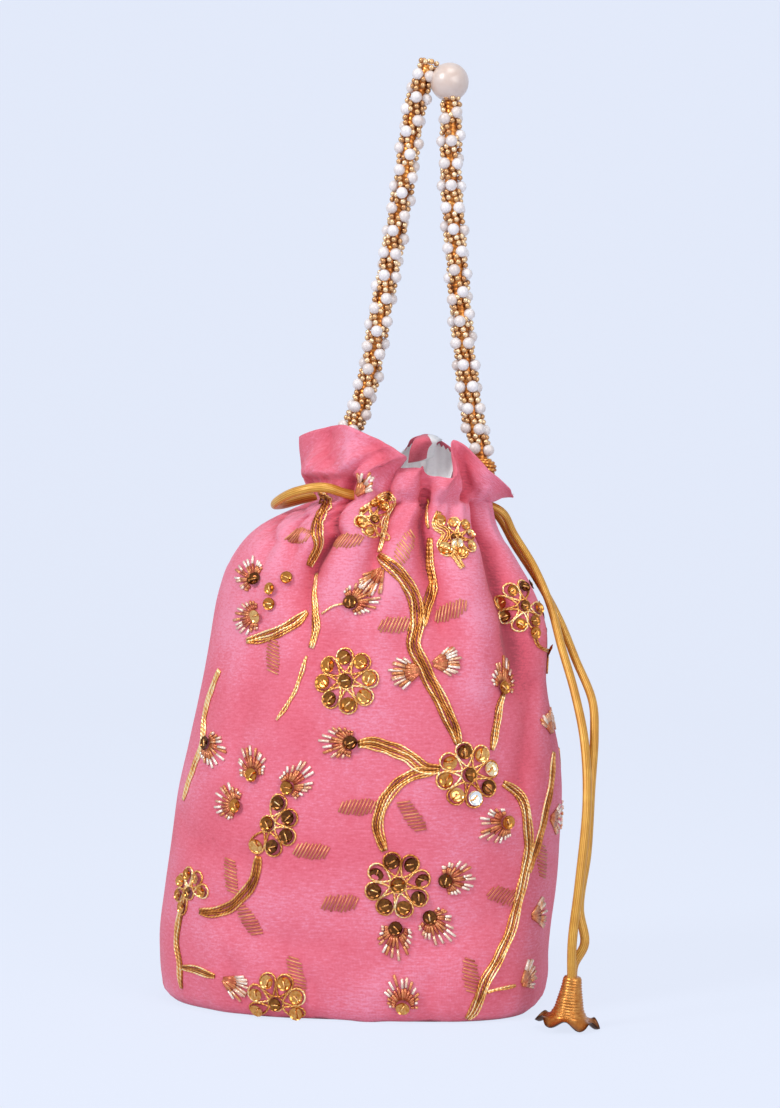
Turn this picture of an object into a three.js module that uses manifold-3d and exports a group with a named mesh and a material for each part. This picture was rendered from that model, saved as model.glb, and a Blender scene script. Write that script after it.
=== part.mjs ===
// Potli bag: a gathered cloth pouch with a frilled mouth, a drawstring ending in a flower bell,
// embroidered sequin flowers and a handle of twisted bead strands.
// Millimetres, +Z up, X across the bag, -Y towards its front. The origin is the base's centre.
import * as THREE from 'three';
import { mergeVertices } from 'three/addons/utils/BufferGeometryUtils.js';
import Module from 'manifold-3d';

const wasm = await Module();
wasm.setup();

// Rise from each of the pouch's sections to the next, starting at the base
const footRise = 6;
const bellyRise = 42;
const waistRise = 75;
const shoulderRise = 38;
const gatherRise = 25;
const pleatRise = 16;
const neckRise = 9;
const frillRise = 15;
const rimRise = 15;

// Half widths and half depths of those sections, outside the cloth
const baseHalfWidth = 76;
const baseHalfDepth = 42;
const footHalfWidth = 81.5;
const footHalfDepth = 47;
const bellyHalfWidth = 82.5;
const bellyHalfDepth = 52;
const waistHalfWidth = 75.5;
const waistHalfDepth = 47;
const shoulderHalfWidth = 72;
const shoulderHalfDepth = 42;
const gatherHalfWidth = 61;
const gatherHalfDepth = 35;
const pleatHalfWidth = 49;
const pleatHalfDepth = 28;
const neckHalfWidth = 35.5;
const neckHalfDepth = 21;
const frillHalfWidth = 41;
const frillHalfDepth = 25;
const rimHalfWidth = 44.5;
const rimHalfDepth = 29;

// How far the filled pouch leans to the right on its way up
const bellyLean = 2;
const shoulderLean = 12;
const neckLean = 22;

// Cloth, fits and facets
const clothThickness = 1;
const liningThickness = 0.6;
const baseThickness = 1.6;
const sewnGap = 0.3;
const layerGap = 0.4;
const liningHem = 4;
const wallSegments = 40;

// Drawstring, its channel and its bell
const cordDiameter = 4.2;
const cordSides = 8;
const cordSteps = 76;
const channelPlay = 0.9;
const channelRise = 2.5;
const tailGap = 0.3;
const eyeletPlay = 0.35;
const bellHeight = 21;
const bellCrownRadius = 5;
const bellCrownHeight = 4;
const bellWaistRadius = 7;
const bellFlareRadius = 8;
const bellFlareHeight = 7.7;
const bellRimRadius = 12.5;
const bellWall = 1;
const bellX = 97;
const tailShift = 1.6;
const bellY = -47.8;
const bellSides = 24;

// Handle of bead strands
const strandDiameter = 3.9;
const strandCount = 4;
const strandGap = 0.77;
const strandTwistPitch = 78;
const strandFootGap = 0.1;
const strandSides = 8;
const strandStep = 9;
const pearlDiameter = 14;
const bendRadius = 9;
const bendSweep = 120;
const bendShift = 11;
const bendRise = 159;
const knotRise = 13;
const knotRadius = 5;
const knotLength = 9;
const knotProfilePoints = 7;
const shankRadius = 2;
const tabWidth = 4.4;
const tabThickness = 2.4;
const shankPlay = 0.3;
const turnedSides = 20;

// Sequin flowers sewn on the cloth: their size and their places across and up the bag
const flowerDiameter = 25;
const flowerThickness = 0.9;
const flowerPetals = 8;
const flowerNotch = 0.2;
const flowerOutlinePoints = 48;
const flowerPlaces = [
  { x: 5.5, z: 138 },
  { x: 54, z: 100 },
  { x: 26.5, z: 56 },
  { x: -26.5, z: 79 },
];

const strandOffset = (strandDiameter + strandGap) / (2 * Math.sin(Math.PI / strandCount));
const strandSlope = Math.atan((2 * Math.PI * strandOffset) / strandTwistPitch);
const strandDip = (strandDiameter / 2) * Math.sin(strandSlope);
const footHeight = footRise;
const bellyHeight = footHeight + bellyRise;
const waistHeight = bellyHeight + waistRise;
const shoulderHeight = waistHeight + shoulderRise;
const gatherHeight = shoulderHeight + gatherRise;
const pleatHeight = gatherHeight + pleatRise;
const neckHeight = pleatHeight + neckRise;
const frillHeight = neckHeight + frillRise;
const rimHeight = frillHeight + rimRise;
const waistLean = (bellyLean + shoulderLean) / 2;
const sections = [
  { z: 0, width: baseHalfWidth, depth: baseHalfDepth, lean: 0 },
  { z: footHeight, width: footHalfWidth, depth: footHalfDepth, lean: 0 },
  { z: bellyHeight, width: bellyHalfWidth, depth: bellyHalfDepth, lean: bellyLean },
  { z: waistHeight, width: waistHalfWidth, depth: waistHalfDepth, lean: waistLean },
  { z: shoulderHeight, width: shoulderHalfWidth, depth: shoulderHalfDepth, lean: shoulderLean },
  { z: gatherHeight, width: gatherHalfWidth, depth: gatherHalfDepth, lean: shoulderLean },
  { z: pleatHeight, width: pleatHalfWidth, depth: pleatHalfDepth, lean: shoulderLean },
  { z: neckHeight, width: neckHalfWidth, depth: neckHalfDepth, lean: neckLean },
  { z: frillHeight, width: frillHalfWidth, depth: frillHalfDepth, lean: neckLean },
  { z: rimHeight, width: rimHalfWidth, depth: rimHalfDepth, lean: neckLean },
];

// An oval section at a height, read off the straight runs between the listed sections
function sectionAt(z, list = sections) {
  const upper = list.findIndex((section, i) => i > 0 && section.z >= z);
  const top = list[upper < 0 ? list.length - 1 : upper];
  const bottom = list[upper < 0 ? list.length - 2 : upper - 1];
  const share = (z - bottom.z) / (top.z - bottom.z);
  return {
    z,
    width: THREE.MathUtils.lerp(bottom.width, top.width, share),
    depth: THREE.MathUtils.lerp(bottom.depth, top.depth, share),
    lean: THREE.MathUtils.lerp(bottom.lean, top.lean, share),
  };
}

function insetSection(section, inset) {
  return { ...section, width: section.width - inset, depth: section.depth - inset };
}

function ovalPoint(section, angle) {
  const x = section.lean + section.width * Math.cos(angle);
  const y = section.depth * Math.sin(angle);
  return new THREE.Vector3(x, y, section.z);
}

// A closed ring of cloth: its section loop runs up the outside and down the inside.
// The facets of both sides part along the same diagonals, so that one layer nests in the next.
function clothRing(outside, inside) {
  const loop = [...outside, ...inside.toReversed()];
  const around = Array.from({ length: wallSegments }, (_, i) => i);
  const corners = loop.flatMap((section) =>
    around.map((i) => ovalPoint(section, (2 * Math.PI * i) / wallSegments)));
  const facets = loop.flatMap((_, row) => around.flatMap((i) => {
    const here = row * wallSegments;
    const there = ((row + 1) % loop.length) * wallSegments;
    const next = (i + 1) % wallSegments;
    const [a, b, c, d] = [here + i, here + next, there + next, there + i];
    return row < outside.length ? [a, b, d, b, c, d] : [a, b, c, a, c, d];
  }));
  const geometry = new THREE.BufferGeometry().setFromPoints(corners);
  geometry.setIndex(facets);
  geometry.computeVertexNormals();
  return geometry;
}

function toSolid(geometry) {
  const bare = geometry.clone();
  bare.deleteAttribute('normal');
  bare.deleteAttribute('uv');
  const merged = mergeVertices(bare);
  const mesh = new wasm.Mesh({
    numProp: 3,
    vertProperties: new Float32Array(merged.attributes.position.array),
    triVerts: new Uint32Array(merged.index.array),
  });
  return new wasm.Manifold(mesh);
}

function toGeometry(solid) {
  const mesh = solid.getMesh();
  const geometry = new THREE.BufferGeometry();
  geometry.setAttribute('position', new THREE.Float32BufferAttribute(mesh.vertProperties, 3));
  geometry.setIndex([...mesh.triVerts]);
  geometry.computeVertexNormals();
  return geometry;
}

function polygon(radius, sides) {
  const corner = (_, i) => {
    const angle = (2 * Math.PI * i) / sides;
    return new THREE.Vector2(radius * Math.cos(angle), radius * Math.sin(angle));
  };
  return new THREE.Shape(Array.from({ length: sides }, corner));
}

function tube(path, diameter, sides, steps) {
  return new THREE.ExtrudeGeometry(polygon(diameter / 2, sides), { extrudePath: path, steps });
}

function oval(halfWidth, halfDepth, thickness) {
  const shape = new THREE.Shape();
  shape.absellipse(0, 0, halfWidth, halfDepth, 0, 2 * Math.PI);
  return new THREE.ExtrudeGeometry(shape, {
    depth: thickness,
    bevelEnabled: false,
    curveSegments: wallSegments,
  });
}

const bag = new THREE.Group();

function addPiece(name, geometry, material) {
  const mesh = new THREE.Mesh(geometry, material);
  mesh.name = name;
  bag.add(mesh);
  return mesh;
}

const pinkCloth = new THREE.MeshStandardMaterial({ color: 0xe58aa0, roughness: 0.75, metalness: 0 });
const whiteSatin = new THREE.MeshStandardMaterial({ color: 0xf1edea, roughness: 0.45, metalness: 0 });
const goldCord = new THREE.MeshStandardMaterial({ color: 0xd9a23c, roughness: 0.45, metalness: 0.2 });
const goldMetal = new THREE.MeshStandardMaterial({ color: 0xc98a1e, roughness: 0.35, metalness: 0.7 });
const pearlCoat = new THREE.MeshStandardMaterial({ color: 0xf0e8dc, roughness: 0.25, metalness: 0 });
const beadStrand = new THREE.MeshStandardMaterial({ color: 0xe6d3b0, roughness: 0.35, metalness: 0.2 });
const sequinGold = new THREE.MeshStandardMaterial({ color: 0xd0a050, roughness: 0.3, metalness: 0.8 });

// Drawstring route: up one tail, round the front channel, out in a loop at the left,
// round the back channel and down the other tail
const channelInset = clothThickness + channelPlay + cordDiameter / 2;
const channelOval = insetSection(sectionAt(neckHeight), channelInset);
const channelPoint = (degrees) => ovalPoint(channelOval, degrees * THREE.MathUtils.DEG2RAD);
const tailSpread = (cordDiameter + tailGap) / 2;
const tailEnd = bellHeight + sewnGap;
const tailX = bellX + tailShift;
const points = (list) => list.map(([x, y, z]) => new THREE.Vector3(x, y, z));

const frontTail = [
  new THREE.Vector3(tailX, bellY - tailSpread, tailEnd),
  ...points([
    [98.8, -50.2, 35], [101.2, -48, 57], [103.6, -40.6, 90], [101.6, -31.6, 113], [96.6, -21.8, 132],
    [89.6, -11, 151.2], [83.8, -0.6, 167.4], [76, 6.6, 183], [67.6, 7.4, 196.4], [62.8, 3.4, 206],
  ]),
];
const leftLoop = points([
  [3, -17, 213], [-8, -22.8, 216.1], [-20, -21, 214.2], [-31, -8.6, 209.5], [-31.4, 8, 208.8],
  [-21, 19, 211.6], [-5, 17.2, 213],
]);
const backTail = [
  ...points([
    [57.8, 14.6, 206], [67.4, 14.4, 191.2], [77.2, 11.4, 177], [87.2, 2.6, 161.2], [95.2, -8, 145.4],
    [103.4, -18.6, 128.8], [104.9, -25.4, 116], [104.4, -33.6, 95], [103.6, -40.6, 70],
    [101, -44.3, 48], [103.2, -45.1, 34], [98.9, -45.5, 25.2],
  ]),
  new THREE.Vector3(tailX, bellY + tailSpread, tailEnd),
];
const cordRoute = new THREE.CatmullRomCurve3([
  ...frontTail,
  ...[-6, -20, -36, -63, -90].map(channelPoint),
  ...leftLoop,
  ...[112, 84, 58, 40].map(channelPoint),
  ...backTail,
]);
addPiece('drawstring', tube(cordRoute, cordDiameter, cordSides, cordSteps), goldCord);

// Outer cloth: one ring, with the eyelets that the drawstring passes, parted at the side seams
const innerSections = sections.map((section) => insetSection(section, clothThickness));
const eyeletCutter = toSolid(tube(cordRoute, cordDiameter + 2 * eyeletPlay, cordSides, cordSteps));
const outerCloth = toSolid(clothRing(sections, innerSections)).subtract(eyeletCutter);
const cutterWidth = 4 * bellyHalfWidth;
const cutterDepth = 4 * bellyHalfDepth;
const cutterHeight = 4 * rimHeight;

function halfSpace(side) {
  const box = new THREE.BoxGeometry(cutterWidth, cutterDepth, cutterHeight);
  box.translate(0, side * (cutterDepth / 2 + sewnGap / 2), 0);
  return toSolid(box);
}

addPiece('front_panel', toGeometry(outerCloth.intersect(halfSpace(-1))), pinkCloth);
addPiece('back_panel', toGeometry(outerCloth.intersect(halfSpace(1))), pinkCloth);
const baseInset = clothThickness + sewnGap;
addPiece('base_panel', oval(baseHalfWidth - baseInset, baseHalfDepth - baseInset, baseThickness), pinkCloth);

// Lining: it follows the outer cloth, and stands in at the neck to leave the drawstring's channel
const liningInset = clothThickness + layerGap;
const channelDepth = clothThickness + cordDiameter + 2 * channelPlay;
const channelHalfHeight = cordDiameter / 2 + channelPlay;
const channelWall = insetSection(sectionAt(neckHeight), channelDepth);
const liningFloor = baseThickness + sewnGap;
const channelStitch = channelHalfHeight + channelRise;
const lined = (z) => insetSection(sectionAt(z), liningInset);
const underChannel = neckHeight - channelStitch;
const liningRises = sections.map(({ z }) => z).filter((z) => z > liningFloor && z < underChannel);
const liningSections = [
  lined(liningFloor),
  ...liningRises.map(lined),
  lined(underChannel),
  { ...channelWall, z: neckHeight - channelHalfHeight },
  { ...channelWall, z: neckHeight + channelHalfHeight },
  lined(neckHeight + channelStitch),
  lined(frillHeight),
  lined(rimHeight - liningHem),
];
const liningInside = liningSections.map((section) => insetSection(section, liningThickness));
addPiece('lining', clothRing(liningSections, liningInside), whiteSatin);
const liningBaseInset = liningInset + liningThickness + sewnGap;
const floorSection = insetSection(sectionAt(liningFloor), liningBaseInset);
const liningBase = oval(floorSection.width, floorSection.depth, liningThickness);
addPiece('lining_base', liningBase, whiteSatin).position.z = liningFloor;

// Flower bell on the drawstring's two ends, open below
const bellProfile = [
  [0, bellHeight],
  [bellCrownRadius, bellHeight],
  [bellCrownRadius + bellWall, bellHeight - bellCrownHeight],
  [bellWaistRadius, (bellHeight - bellCrownHeight + bellFlareHeight) / 2],
  [bellFlareRadius, bellFlareHeight],
  [bellRimRadius, 0],
];
const bellLoop = [
  ...bellProfile,
  ...bellProfile.toReversed().map(([r, z]) => [Math.max(r - bellWall, 0), Math.max(z - bellWall, 0)]),
].map(([r, z]) => new THREE.Vector2(r, z));
const bell = new THREE.LatheGeometry(bellLoop.toReversed(), bellSides);
bell.rotateX(Math.PI / 2);
addPiece('drawstring_bell', bell, goldMetal).position.set(bellX, bellY, 0);

// Handle ends: a knot on a shank that turns in a tab sewn to the lining, one at each side
const knotHeight = neckHeight + knotRise;
const tabRadius = shankRadius + shankPlay + tabThickness;
const knotStart = sewnGap + tabWidth + shankPlay;
const knotReach = knotStart + knotLength / 2;

function turnedAlongX(profile, side) {
  const outline = profile.map(([r, x]) => new THREE.Vector2(r, x));
  const turned = new THREE.LatheGeometry(outline, turnedSides);
  turned.rotateZ(side * Math.PI / 2);
  return turned;
}

// Where the lining's wall stands nearest to the tab's round face
function tabSeat(side) {
  const reach = polygon(tabRadius, turnedSides).getPoints().map((edge) => {
    const section = sectionAt(knotHeight + edge.y, liningInside);
    return section.width * Math.sqrt(1 - (edge.x / section.depth) ** 2) + side * section.lean;
  });
  return side * Math.min(...reach);
}

function handleEnd(name, side) {
  const wallX = tabSeat(side);
  const startAngle = Math.asin(shankRadius / knotRadius);
  const bead = Array.from({ length: knotProfilePoints }, (_, i) => {
    const angle = THREE.MathUtils.lerp(startAngle, Math.PI, i / knotProfilePoints);
    const x = knotStart + (knotLength / 2) * (Math.cos(startAngle) - Math.cos(angle));
    return [knotRadius * Math.sin(angle), x];
  });
  const knotEnd = knotStart + (knotLength / 2) * (Math.cos(startAngle) + 1);
  const knotProfile = [[0, sewnGap], [shankRadius, sewnGap], ...bead, [0, knotEnd]];
  const tabProfile = [
    [shankRadius + shankPlay, sewnGap],
    [tabRadius, sewnGap],
    [tabRadius, sewnGap + tabWidth],
    [shankRadius + shankPlay, sewnGap + tabWidth],
    [shankRadius + shankPlay, sewnGap],
  ];
  const knot = addPiece(`handle_knot_${name}`, turnedAlongX(knotProfile, side), pinkCloth);
  knot.position.set(wallX, 0, knotHeight);
  const tab = addPiece(`handle_tab_${name}`, turnedAlongX(tabProfile, side), pinkCloth);
  tab.position.set(wallX, 0, knotHeight);
  return wallX - side * knotReach;
}

const leftKnotX = handleEnd('left', -1);
const rightKnotX = handleEnd('right', 1);

// Bead strands: each winds round its leg's centre line, which lies in the plane of the handle
class TwistedStrand extends THREE.Curve {
  constructor(leg, index) {
    super();
    this.leg = leg;
    this.turns = leg.getLength() / strandTwistPitch;
    this.phase = (2 * Math.PI * index) / strandCount;
  }

  getPoint(t, target = new THREE.Vector3()) {
    const tangent = this.leg.getTangentAt(t);
    const across = new THREE.Vector3(0, 1, 0);
    const normal = new THREE.Vector3().crossVectors(tangent, across).normalize();
    const angle = this.phase + 2 * Math.PI * this.turns * t;
    target.copy(this.leg.getPointAt(t));
    target.addScaledVector(normal, strandOffset * Math.cos(angle));
    return target.addScaledVector(across, strandOffset * Math.sin(angle));
  }
}

function addLeg(name, leg) {
  const steps = Math.round(leg.getLength() / strandStep);
  for (let i = 0; i < strandCount; i += 1) {
    const strand = tube(new TwistedStrand(leg, i), strandDiameter, strandSides, steps);
    addPiece(`${name}_strand_${i + 1}`, strand, beadStrand);
  }
}

const strandFoot = knotHeight + Math.max(knotRadius + sewnGap, tabRadius + strandDip + strandFootGap);
const legFoot = (x) => points([[x, 0, strandFoot], [x, 0, strandFoot + strandDiameter]]);
const bendPoint = (degrees) => {
  const angle = (180 - degrees) * THREE.MathUtils.DEG2RAD;
  const x = neckLean + bendShift + bendRadius * Math.cos(angle);
  return new THREE.Vector3(x, 0, knotHeight + bendRise + bendRadius * Math.sin(angle));
};
// The legs' points: across from the neck's centre and up from the knots
const legPoints = (list) => list.map(([x, z]) => new THREE.Vector3(neckLean + x, 0, knotHeight + z));
const leftLeg = new THREE.CatmullRomCurve3([
  ...legFoot(leftKnotX),
  ...legPoints([[-20, 21], [-15.3, 38], [-8.1, 75], [-2.5, 113], [0.6, 140]]),
  ...[0, 1, 2, 3].map((i) => bendPoint((i * bendSweep) / 3)),
]);
const pearlReach = pearlDiameter / 2 + sewnGap;
const pearlCentre = leftLeg.getPointAt(1).addScaledVector(leftLeg.getTangentAt(1), pearlReach);
const rightTop = pearlCentre.z - pearlReach;
const rightLeg = new THREE.CatmullRomCurve3([
  ...legFoot(rightKnotX),
  ...legPoints([[27, 22], [26, 38], [22.5, 75], [20.8, 113]]),
  ...points([[pearlCentre.x, 0, rightTop - 2 * strandDiameter], [pearlCentre.x, 0, rightTop]]),
]);
addLeg('left', leftLeg);
addLeg('right', rightLeg);
const pearl = new THREE.SphereGeometry(pearlDiameter / 2, turnedSides, turnedSides / 2);
addPiece('handle_pearl', pearl, pearlCoat).position.copy(pearlCentre);

// Sequin flowers: lobed patches of a thin layer that lies just outside the cloth
const flowerInner = sections.map((section) => insetSection(section, -sewnGap));
const flowerOuter = sections.map((section) => insetSection(section, -sewnGap - flowerThickness));
const flowerLayer = toSolid(clothRing(flowerOuter, flowerInner));

function flowerOutline() {
  const corner = (_, i) => {
    const angle = (2 * Math.PI * i) / flowerOutlinePoints;
    const lobe = Math.abs(Math.cos((flowerPetals * angle) / 2));
    const radius = (flowerDiameter / 2) * (1 - flowerNotch * (1 - lobe));
    return new THREE.Vector2(radius * Math.cos(angle), radius * Math.sin(angle));
  };
  return new THREE.Shape(Array.from({ length: flowerOutlinePoints }, corner));
}

function addFlowers(side, name) {
  flowerPlaces.forEach(({ x, z }, i) => {
    const reach = 2 * bellyHalfDepth;
    const prism = new THREE.ExtrudeGeometry(flowerOutline(), { depth: reach, bevelEnabled: false });
    prism.rotateX(Math.PI / 2);
    prism.translate(x, side > 0 ? reach : 0, z);
    addPiece(`${name}_flower_${i + 1}`, toGeometry(flowerLayer.intersect(toSolid(prism))), sequinGold);
  });
}

addFlowers(-1, 'front');
addFlowers(1, 'back');

export default bag;
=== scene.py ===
import bpy
import numpy as np
from mathutils import Matrix, Vector


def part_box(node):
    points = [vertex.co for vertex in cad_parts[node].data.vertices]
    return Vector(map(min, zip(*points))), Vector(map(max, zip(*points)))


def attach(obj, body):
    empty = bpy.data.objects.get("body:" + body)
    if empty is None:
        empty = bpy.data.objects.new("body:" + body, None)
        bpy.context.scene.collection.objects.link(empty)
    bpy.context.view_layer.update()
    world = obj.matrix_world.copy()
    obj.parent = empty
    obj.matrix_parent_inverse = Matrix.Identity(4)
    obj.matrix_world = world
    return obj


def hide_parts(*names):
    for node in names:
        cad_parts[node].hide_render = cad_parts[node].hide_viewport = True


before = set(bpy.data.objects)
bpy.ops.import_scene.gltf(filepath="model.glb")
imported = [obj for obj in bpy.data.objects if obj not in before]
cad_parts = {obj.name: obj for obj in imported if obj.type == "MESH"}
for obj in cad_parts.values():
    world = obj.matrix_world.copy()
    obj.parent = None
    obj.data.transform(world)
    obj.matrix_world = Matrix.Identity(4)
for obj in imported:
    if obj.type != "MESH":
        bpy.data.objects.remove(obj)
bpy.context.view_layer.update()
rng = np.random.default_rng(11)
mm = 0.001
tau = 2 * np.pi
farAway = 1e9


# small helpers for arrays of points

def unit(v):
    return v / np.maximum(np.linalg.norm(v, axis=-1, keepdims=True), 1e-12)


def dot(a, b):
    return (a * b).sum(-1)


def smoothstep(x, low, high):
    t = np.clip((x - low) / (high - low), 0, 1)
    return t * t * (3 - 2 * t)


# angles of evenly spaced points round a ring
def anglesOf(count):
    return np.arange(count) / count * tau


def circle(angle):
    return np.stack([np.cos(angle), np.sin(angle)], -1)


# cubic through the knots: each knot's slope is the central difference of its neighbours
def smoothThrough(x, knotX, knotY):
    knotX, knotY = np.asarray(knotX, float), np.asarray(knotY, float)
    slope = np.gradient(knotY, knotX, axis=0)
    k = np.clip(np.searchsorted(knotX, x, side="right") - 1, 0, len(knotX) - 2)
    pad = (...,) + (None,) * (knotY.ndim - 1)
    h = (knotX[k + 1] - knotX[k])[pad]
    t = (x - knotX[k])[pad] / h
    return ((1 + 2 * t) * (1 - t) ** 2 * knotY[k] + t * (1 - t) ** 2 * h * slope[k]
            + t * t * (3 - 2 * t) * knotY[k + 1] - t * t * (1 - t) * h * slope[k + 1])


# sum of the steps up to each point of a path, each step to a power
def runAlong(path, power=1):
    return np.concatenate([[0], np.cumsum(np.linalg.norm(np.diff(path, axis=0), axis=1) ** power)])


def alongPath(path, at):
    run = runAlong(path)
    return np.stack([np.interp(at, run, column) for column in path.T], 1)


# evenly spaced points along a smooth curve through the listed ones
def evenCurve(points, step, fine=60):
    points = np.asarray(points, float)
    run = runAlong(points, 0.5)
    dense = smoothThrough(np.linspace(0, run[-1], fine * len(points)), run, points)
    length = runAlong(dense)[-1]
    return alongPath(dense, np.linspace(0, length, max(int(round(length / step)), 2) + 1))


# quads of a rows x cols grid, and each corner's place on the grid for its UV
def gridFaces(rows, cols, wrap=False):
    spans = cols if wrap else cols - 1
    r, c = np.meshgrid(np.arange(rows - 1), np.arange(spans), indexing="ij")
    n = (c + 1) % cols
    quads = np.stack([r * cols + c, r * cols + n, (r + 1) * cols + n, (r + 1) * cols + c], -1)
    corners = np.stack([np.stack(p, -1) for p in ((c, r), (c + 1, r), (c + 1, r + 1), (c, r + 1))], 2)
    return quads.reshape(-1, 4), corners.reshape(-1, 4, 2)


# one row of a grid as a face, to close its end
def rowFace(row, cols):
    return list(range(row * cols, (row + 1) * cols))


# outward normals of a grid that closes on itself across its columns
def gridNormals(grid):
    across = np.roll(grid, -1, axis=1) - np.roll(grid, 1, axis=1)
    return unit(np.cross(across, np.gradient(grid, axis=0)))


def makePiece(name, verts, faces, uv=None, tone=None):
    mesh = bpy.data.meshes.new(name)
    mesh.from_pydata(np.asarray(verts).tolist(), [], [list(f) for f in faces])
    if uv is not None:
        layer = mesh.uv_layers.new(name="UVMap")
        layer.data.foreach_set("uv", np.asarray(uv, np.float32).ravel())
    if tone is not None:
        values = mesh.attributes.new("tone", "FLOAT", "POINT")
        values.data.foreach_set("value", np.asarray(tone, np.float32).ravel())
    mesh.polygons.foreach_set("use_smooth", np.full(len(mesh.polygons), True))
    mesh.update()
    piece = bpy.data.objects.new(name, mesh)
    bpy.context.scene.collection.objects.link(piece)
    return piece


def addWall(piece, thickness, offset=-1):
    wall = piece.modifiers.new("wall", "SOLIDIFY")
    wall.thickness = thickness
    wall.offset = offset
    return piece


# rings across a path: a point sits at radius * (cos * side + flat * sin * lift) from it
def ringsAlong(path, radius, sides, reference, flat=1.0):
    tangent = unit(np.gradient(path, axis=0))
    side = unit(np.cross(tangent, reference))
    lift = np.cross(tangent, side)
    angle = anglesOf(sides)[None, :, None]
    ring = np.cos(angle) * side[:, None] + flat * np.sin(angle) * lift[:, None]
    return path[:, None] + radius * ring


# several tubes gathered into one list of vertices, faces, corner UVs and tones
class Tubes:
    def __init__(self):
        self.verts, self.faces, self.uv, self.tone, self.count = [], [], [], [], 0

    def add(self, path, radius, sides, reference, tone=0.5, flat=1.0):
        rows = len(path)
        quads, corners = gridFaces(rows, sides, wrap=True)
        run = runAlong(path) / mm
        uv = np.stack([corners[..., 0] / sides, run[corners[..., 1]]], -1)
        ends = np.array([rowFace(0, sides)[::-1], rowFace(rows - 1, sides)])
        self.verts.append(ringsAlong(path, radius, sides, reference, flat).reshape(-1, 3))
        self.faces += (quads + self.count).tolist() + (ends + self.count).tolist()
        self.uv += [uv.reshape(-1, 2), np.zeros((2 * sides, 2))]
        self.tone.append(np.full(rows * sides, tone))
        self.count += rows * sides

    def piece(self, name):
        return makePiece(name, np.concatenate(self.verts), self.faces,
                         np.concatenate(self.uv), np.concatenate(self.tone))


# copies of one small shape: vertex = origin + frame * (shape * scale), upright where no frames are given
def stampPiece(name, shape, faces, origins, scales, tones, frames=None):
    origins = np.asarray(origins)
    count = len(origins)
    frames = np.broadcast_to(np.eye(3) if frames is None else frames, (count, 3, 3))
    scales = np.broadcast_to(np.asarray(scales, float), (count, 3))
    verts = np.einsum("nij,nvj->nvi", frames, shape[None] * scales[:, None]) + origins[:, None]
    starts = np.arange(count)[:, None] * len(shape)
    copies = zip(*((np.array(face) + starts).tolist() for face in faces))
    allFaces = [face for copy in copies for face in copy]
    return makePiece(name, verts.reshape(-1, 3), allFaces, tone=np.repeat(tones, len(shape)))


# camera: the photograph's frame is 780 x 1108, and frameHeight is what its height spans at the bag

photo = dict(width=780, height=1108)
view = dict(azimuth=10, elevation=1.6, distance=1.2, across=0.016, up=0.188, frameHeight=0.4654, sensor=24)


def cameraAxes():
    a, e = np.radians([view["azimuth"], view["elevation"]])
    back = np.array([np.sin(a) * np.cos(e), -np.cos(a) * np.cos(e), np.sin(e)])
    right = np.array([np.cos(a), np.sin(a), 0])
    return right, np.cross(back, right), back


camRight, camUp, camBack = cameraAxes()
camTarget = view["across"] * camRight + np.array([0, 0, view["up"]])
camPlace = camTarget + view["distance"] * camBack
pixelSize = view["frameHeight"] / photo["height"]


def toPixel(points):
    ray = points - camPlace
    depth = -(ray @ camBack) / view["distance"]
    px = photo["width"] / 2 + (ray @ camRight) / depth / pixelSize
    py = photo["height"] / 2 - (ray @ camUp) / depth / pixelSize
    return np.stack([px, py], -1)


# where the view through a pixel meets the upright plane at that depth from the bag's middle
def atDepth(px, py, depth):
    ray = ((px - photo["width"] / 2) * pixelSize * camRight + (photo["height"] / 2 - py) * pixelSize * camUp
           - view["distance"] * camBack)
    return camPlace + ray * ((depth - camPlace[1]) / ray[1])


# finds the grid's corner seen nearest to each pixel, among those that face the camera
def seenFinder(grid, normals):
    seen = toPixel(grid)
    hidden = np.where(dot(normals, camPlace - grid) > 0, 0, farAway)

    def nearest(pixel):
        return np.unravel_index(np.argmin(((seen - pixel) ** 2).sum(-1) + hidden), hidden.shape)

    return lambda pixels: [nearest(pixel) for pixel in pixels]


def makeCamera():
    data = bpy.data.cameras.new("photoView")
    data.sensor_fit = "VERTICAL"
    data.sensor_height = view["sensor"]
    data.lens = view["sensor"] * view["distance"] / view["frameHeight"]
    camera = bpy.data.objects.new("photoView", data)
    turn = Matrix([Vector(camRight), Vector(camUp), Vector(camBack)]).transposed()
    camera.matrix_world = Matrix.Translation(Vector(camPlace)) @ turn.to_4x4()
    bpy.context.scene.collection.objects.link(camera)
    bpy.context.scene.camera = camera


makeCamera()
print("camera ready")


# materials: a small builder, then one function for each kind of finish

def newMaterial(name, color, roughness, metallic=0.0, **sockets):
    material = bpy.data.materials.new(name)
    material.use_nodes = True
    bsdf = material.node_tree.nodes["Principled BSDF"]
    bsdf.inputs["Base Color"].default_value = (*color, 1)
    bsdf.inputs["Roughness"].default_value = roughness
    bsdf.inputs["Metallic"].default_value = metallic
    for socket, value in sockets.items():
        bsdf.inputs[socket.replace("_", " ")].default_value = value
    return material, material.node_tree, bsdf


def addNode(tree, kind, links=(), **settings):
    node = tree.nodes.new(kind)
    for key, value in settings.items():
        if key in node.bl_rna.properties:
            setattr(node, key, value)
        else:
            node.inputs[key.replace("_", " ")].default_value = value
    for socket, source in links:
        tree.links.new(source, node.inputs[socket])
    return node


# each input of a math node is a number or another node's output
def mathNode(tree, operation, *inputs):
    node = addNode(tree, "ShaderNodeMath", operation=operation)
    for socket, value in zip(node.inputs, inputs):
        if isinstance(value, bpy.types.NodeSocket):
            tree.links.new(value, socket)
        else:
            socket.default_value = value
    return node.outputs[0]


def noiseNode(tree, vector, **settings):
    return addNode(tree, "ShaderNodeTexNoise", [("Vector", vector)], **settings).outputs["Fac"]


def waveNode(tree, vector, **settings):
    return addNode(tree, "ShaderNodeTexWave", [("Vector", vector)], **settings).outputs["Fac"]


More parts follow.
